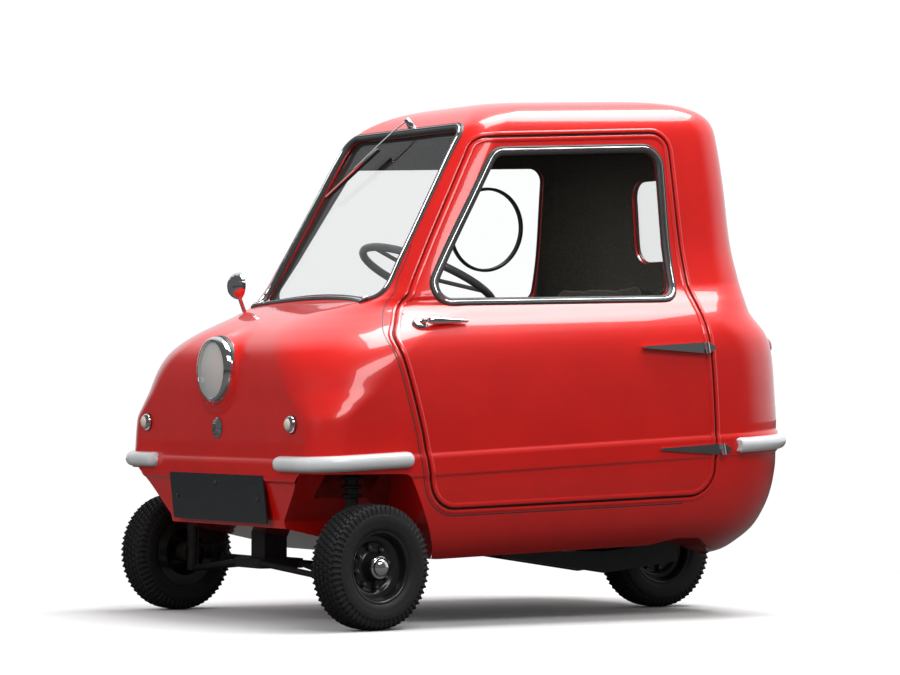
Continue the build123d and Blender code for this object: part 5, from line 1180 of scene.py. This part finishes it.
# Camera, floor and light ----------------------------------------------------------------------------
scene = bpy.context.scene
scene.view_settings.view_transform = "Standard"
CAMERA_LENS = 145.56
CAMERA_PLACE = (7.4355, -4.4606, 0.5189)
camera_data = bpy.data.cameras.new("camera")
camera_data.lens = CAMERA_LENS
camera_data.sensor_width = 36
camera_data.clip_end = 100
camera = bpy.data.objects.new("camera", camera_data)
right = Vector((0.51019, 0.86006, 0.00261))
up = Vector((0.01216, -0.01024, 0.99987))
ahead = Vector((-0.85998, 0.51009, 0.01568))
camera.matrix_world = Matrix.Translation(CAMERA_PLACE) @ Matrix((right, up, -ahead)).transposed().to_4x4()
scene.collection.objects.link(camera)
scene.camera = camera

floor_mesh = bpy.data.meshes.new("floor")
FLOOR_HALF = 60
corners = [(FLOOR_HALF * x, FLOOR_HALF * y, 0) for x, y in ((-1, -1), (1, -1), (1, 1), (-1, 1))]
floor_mesh.from_pydata(corners, [], [(0, 1, 2, 3)])
pale = material("pale_floor", (0.93, 0.93, 0.93), 0.95)
tree = pale.node_tree
place = add_node(tree, "TexCoord")
length = add_node(tree, "VectorMath", {"operation": "LENGTH"})
spread = add_node(tree, "MapRange", {"interpolation_type": "SMOOTHSTEP"}, From_Min=1.0, From_Max=2.6)
glow = add_node(tree, "Emission", Color=(1, 1, 1, 1), Strength=1.02)
blend = add_node(tree, "MixShader")
tree.links.new(place.outputs["Object"], length.inputs[0])
tree.links.new(length.outputs["Value"], spread.inputs["Value"])
tree.links.new(spread.outputs["Result"], blend.inputs["Fac"])
tree.links.new(tree.nodes["Principled BSDF"].outputs["BSDF"], blend.inputs[1])
tree.links.new(glow.outputs["Emission"], blend.inputs[2])
seen_by = add_node(tree, "LightPath")
under = add_node(tree, "BsdfDiffuse", Color=(0.09, 0.09, 0.09, 1))
split = add_node(tree, "MixShader")
tree.links.new(seen_by.outputs["Is Camera Ray"], split.inputs["Fac"])
tree.links.new(under.outputs["BSDF"], split.inputs[1])
tree.links.new(blend.outputs["Shader"], split.inputs[2])
tree.links.new(split.outputs["Shader"], tree.nodes["Material Output"].inputs["Surface"])
floor_mesh.materials.append(pale)
floor = bpy.data.objects.new("floor", floor_mesh)
scene.collection.objects.link(floor)

world = bpy.data.worlds.new("studio")
scene.world = world
world.use_nodes = True
tree = world.node_tree
tree.nodes.clear()
out = add_node(tree, "OutputWorld")
mix = add_node(tree, "MixShader")
shiny = add_node(tree, "MixShader")
rays = add_node(tree, "LightPath")
seen = add_node(tree, "Background", Color=(1, 1, 1, 1), Strength=1.05)
lit = add_node(tree, "Background", Color=(1, 1, 1, 1), Strength=0.50)
# Reflections see a dark room towards the camera and a bright wall behind the car
dim = add_node(tree, "Background", Color=(0.95, 0.97, 1, 1))
heading = add_node(tree, "TexCoord")
behind = add_node(tree, "VectorMath", {"operation": "DOT_PRODUCT"})
behind.inputs[1].default_value = (-0.55, 0.76, 0.33)
wall = add_node(tree, "MapRange", {"interpolation_type": "SMOOTHSTEP"}, From_Min=0.25, From_Max=0.70,
                To_Min=0.10, To_Max=0.85)
tree.links.new(heading.outputs["Generated"], behind.inputs[0])
tree.links.new(behind.outputs["Value"], wall.inputs["Value"])
tree.links.new(wall.outputs["Result"], dim.inputs["Strength"])
tree.links.new(rays.outputs["Is Glossy Ray"], shiny.inputs["Fac"])
tree.links.new(lit.outputs["Background"], shiny.inputs[1])
tree.links.new(dim.outputs["Background"], shiny.inputs[2])
tree.links.new(rays.outputs["Is Camera Ray"], mix.inputs["Fac"])
tree.links.new(shiny.outputs["Shader"], mix.inputs[1])
tree.links.new(seen.outputs["Background"], mix.inputs[2])
tree.links.new(mix.outputs["Shader"], out.inputs["Surface"])


def area_light(name, place, target, size, power, color=(1, 1, 1)):
    data = bpy.data.lights.new(name, "AREA")
    data.shape = "RECTANGLE"
    data.size, data.size_y = size
    data.energy = power
    data.color = color
    light = bpy.data.objects.new(name, data)
    light.location = place
    light.rotation_euler = (Vector(target) - Vector(place)).to_track_quat("-Z", "Y").to_euler()
    scene.collection.objects.link(light)
    return light


area_light("overhead", (0.2, 0.8, 3.3), (0, 0.1, 0.3), (2.0, 2.6), 140)
area_light("side", (3.4, -0.6, 3.2), (0, 0, 0.7), (2.6, 1.2), 55)
area_light("front", (0.6, -4.2, 2.2), (0, 0, 0.6), (2.0, 2.2), 45).visible_glossy = False
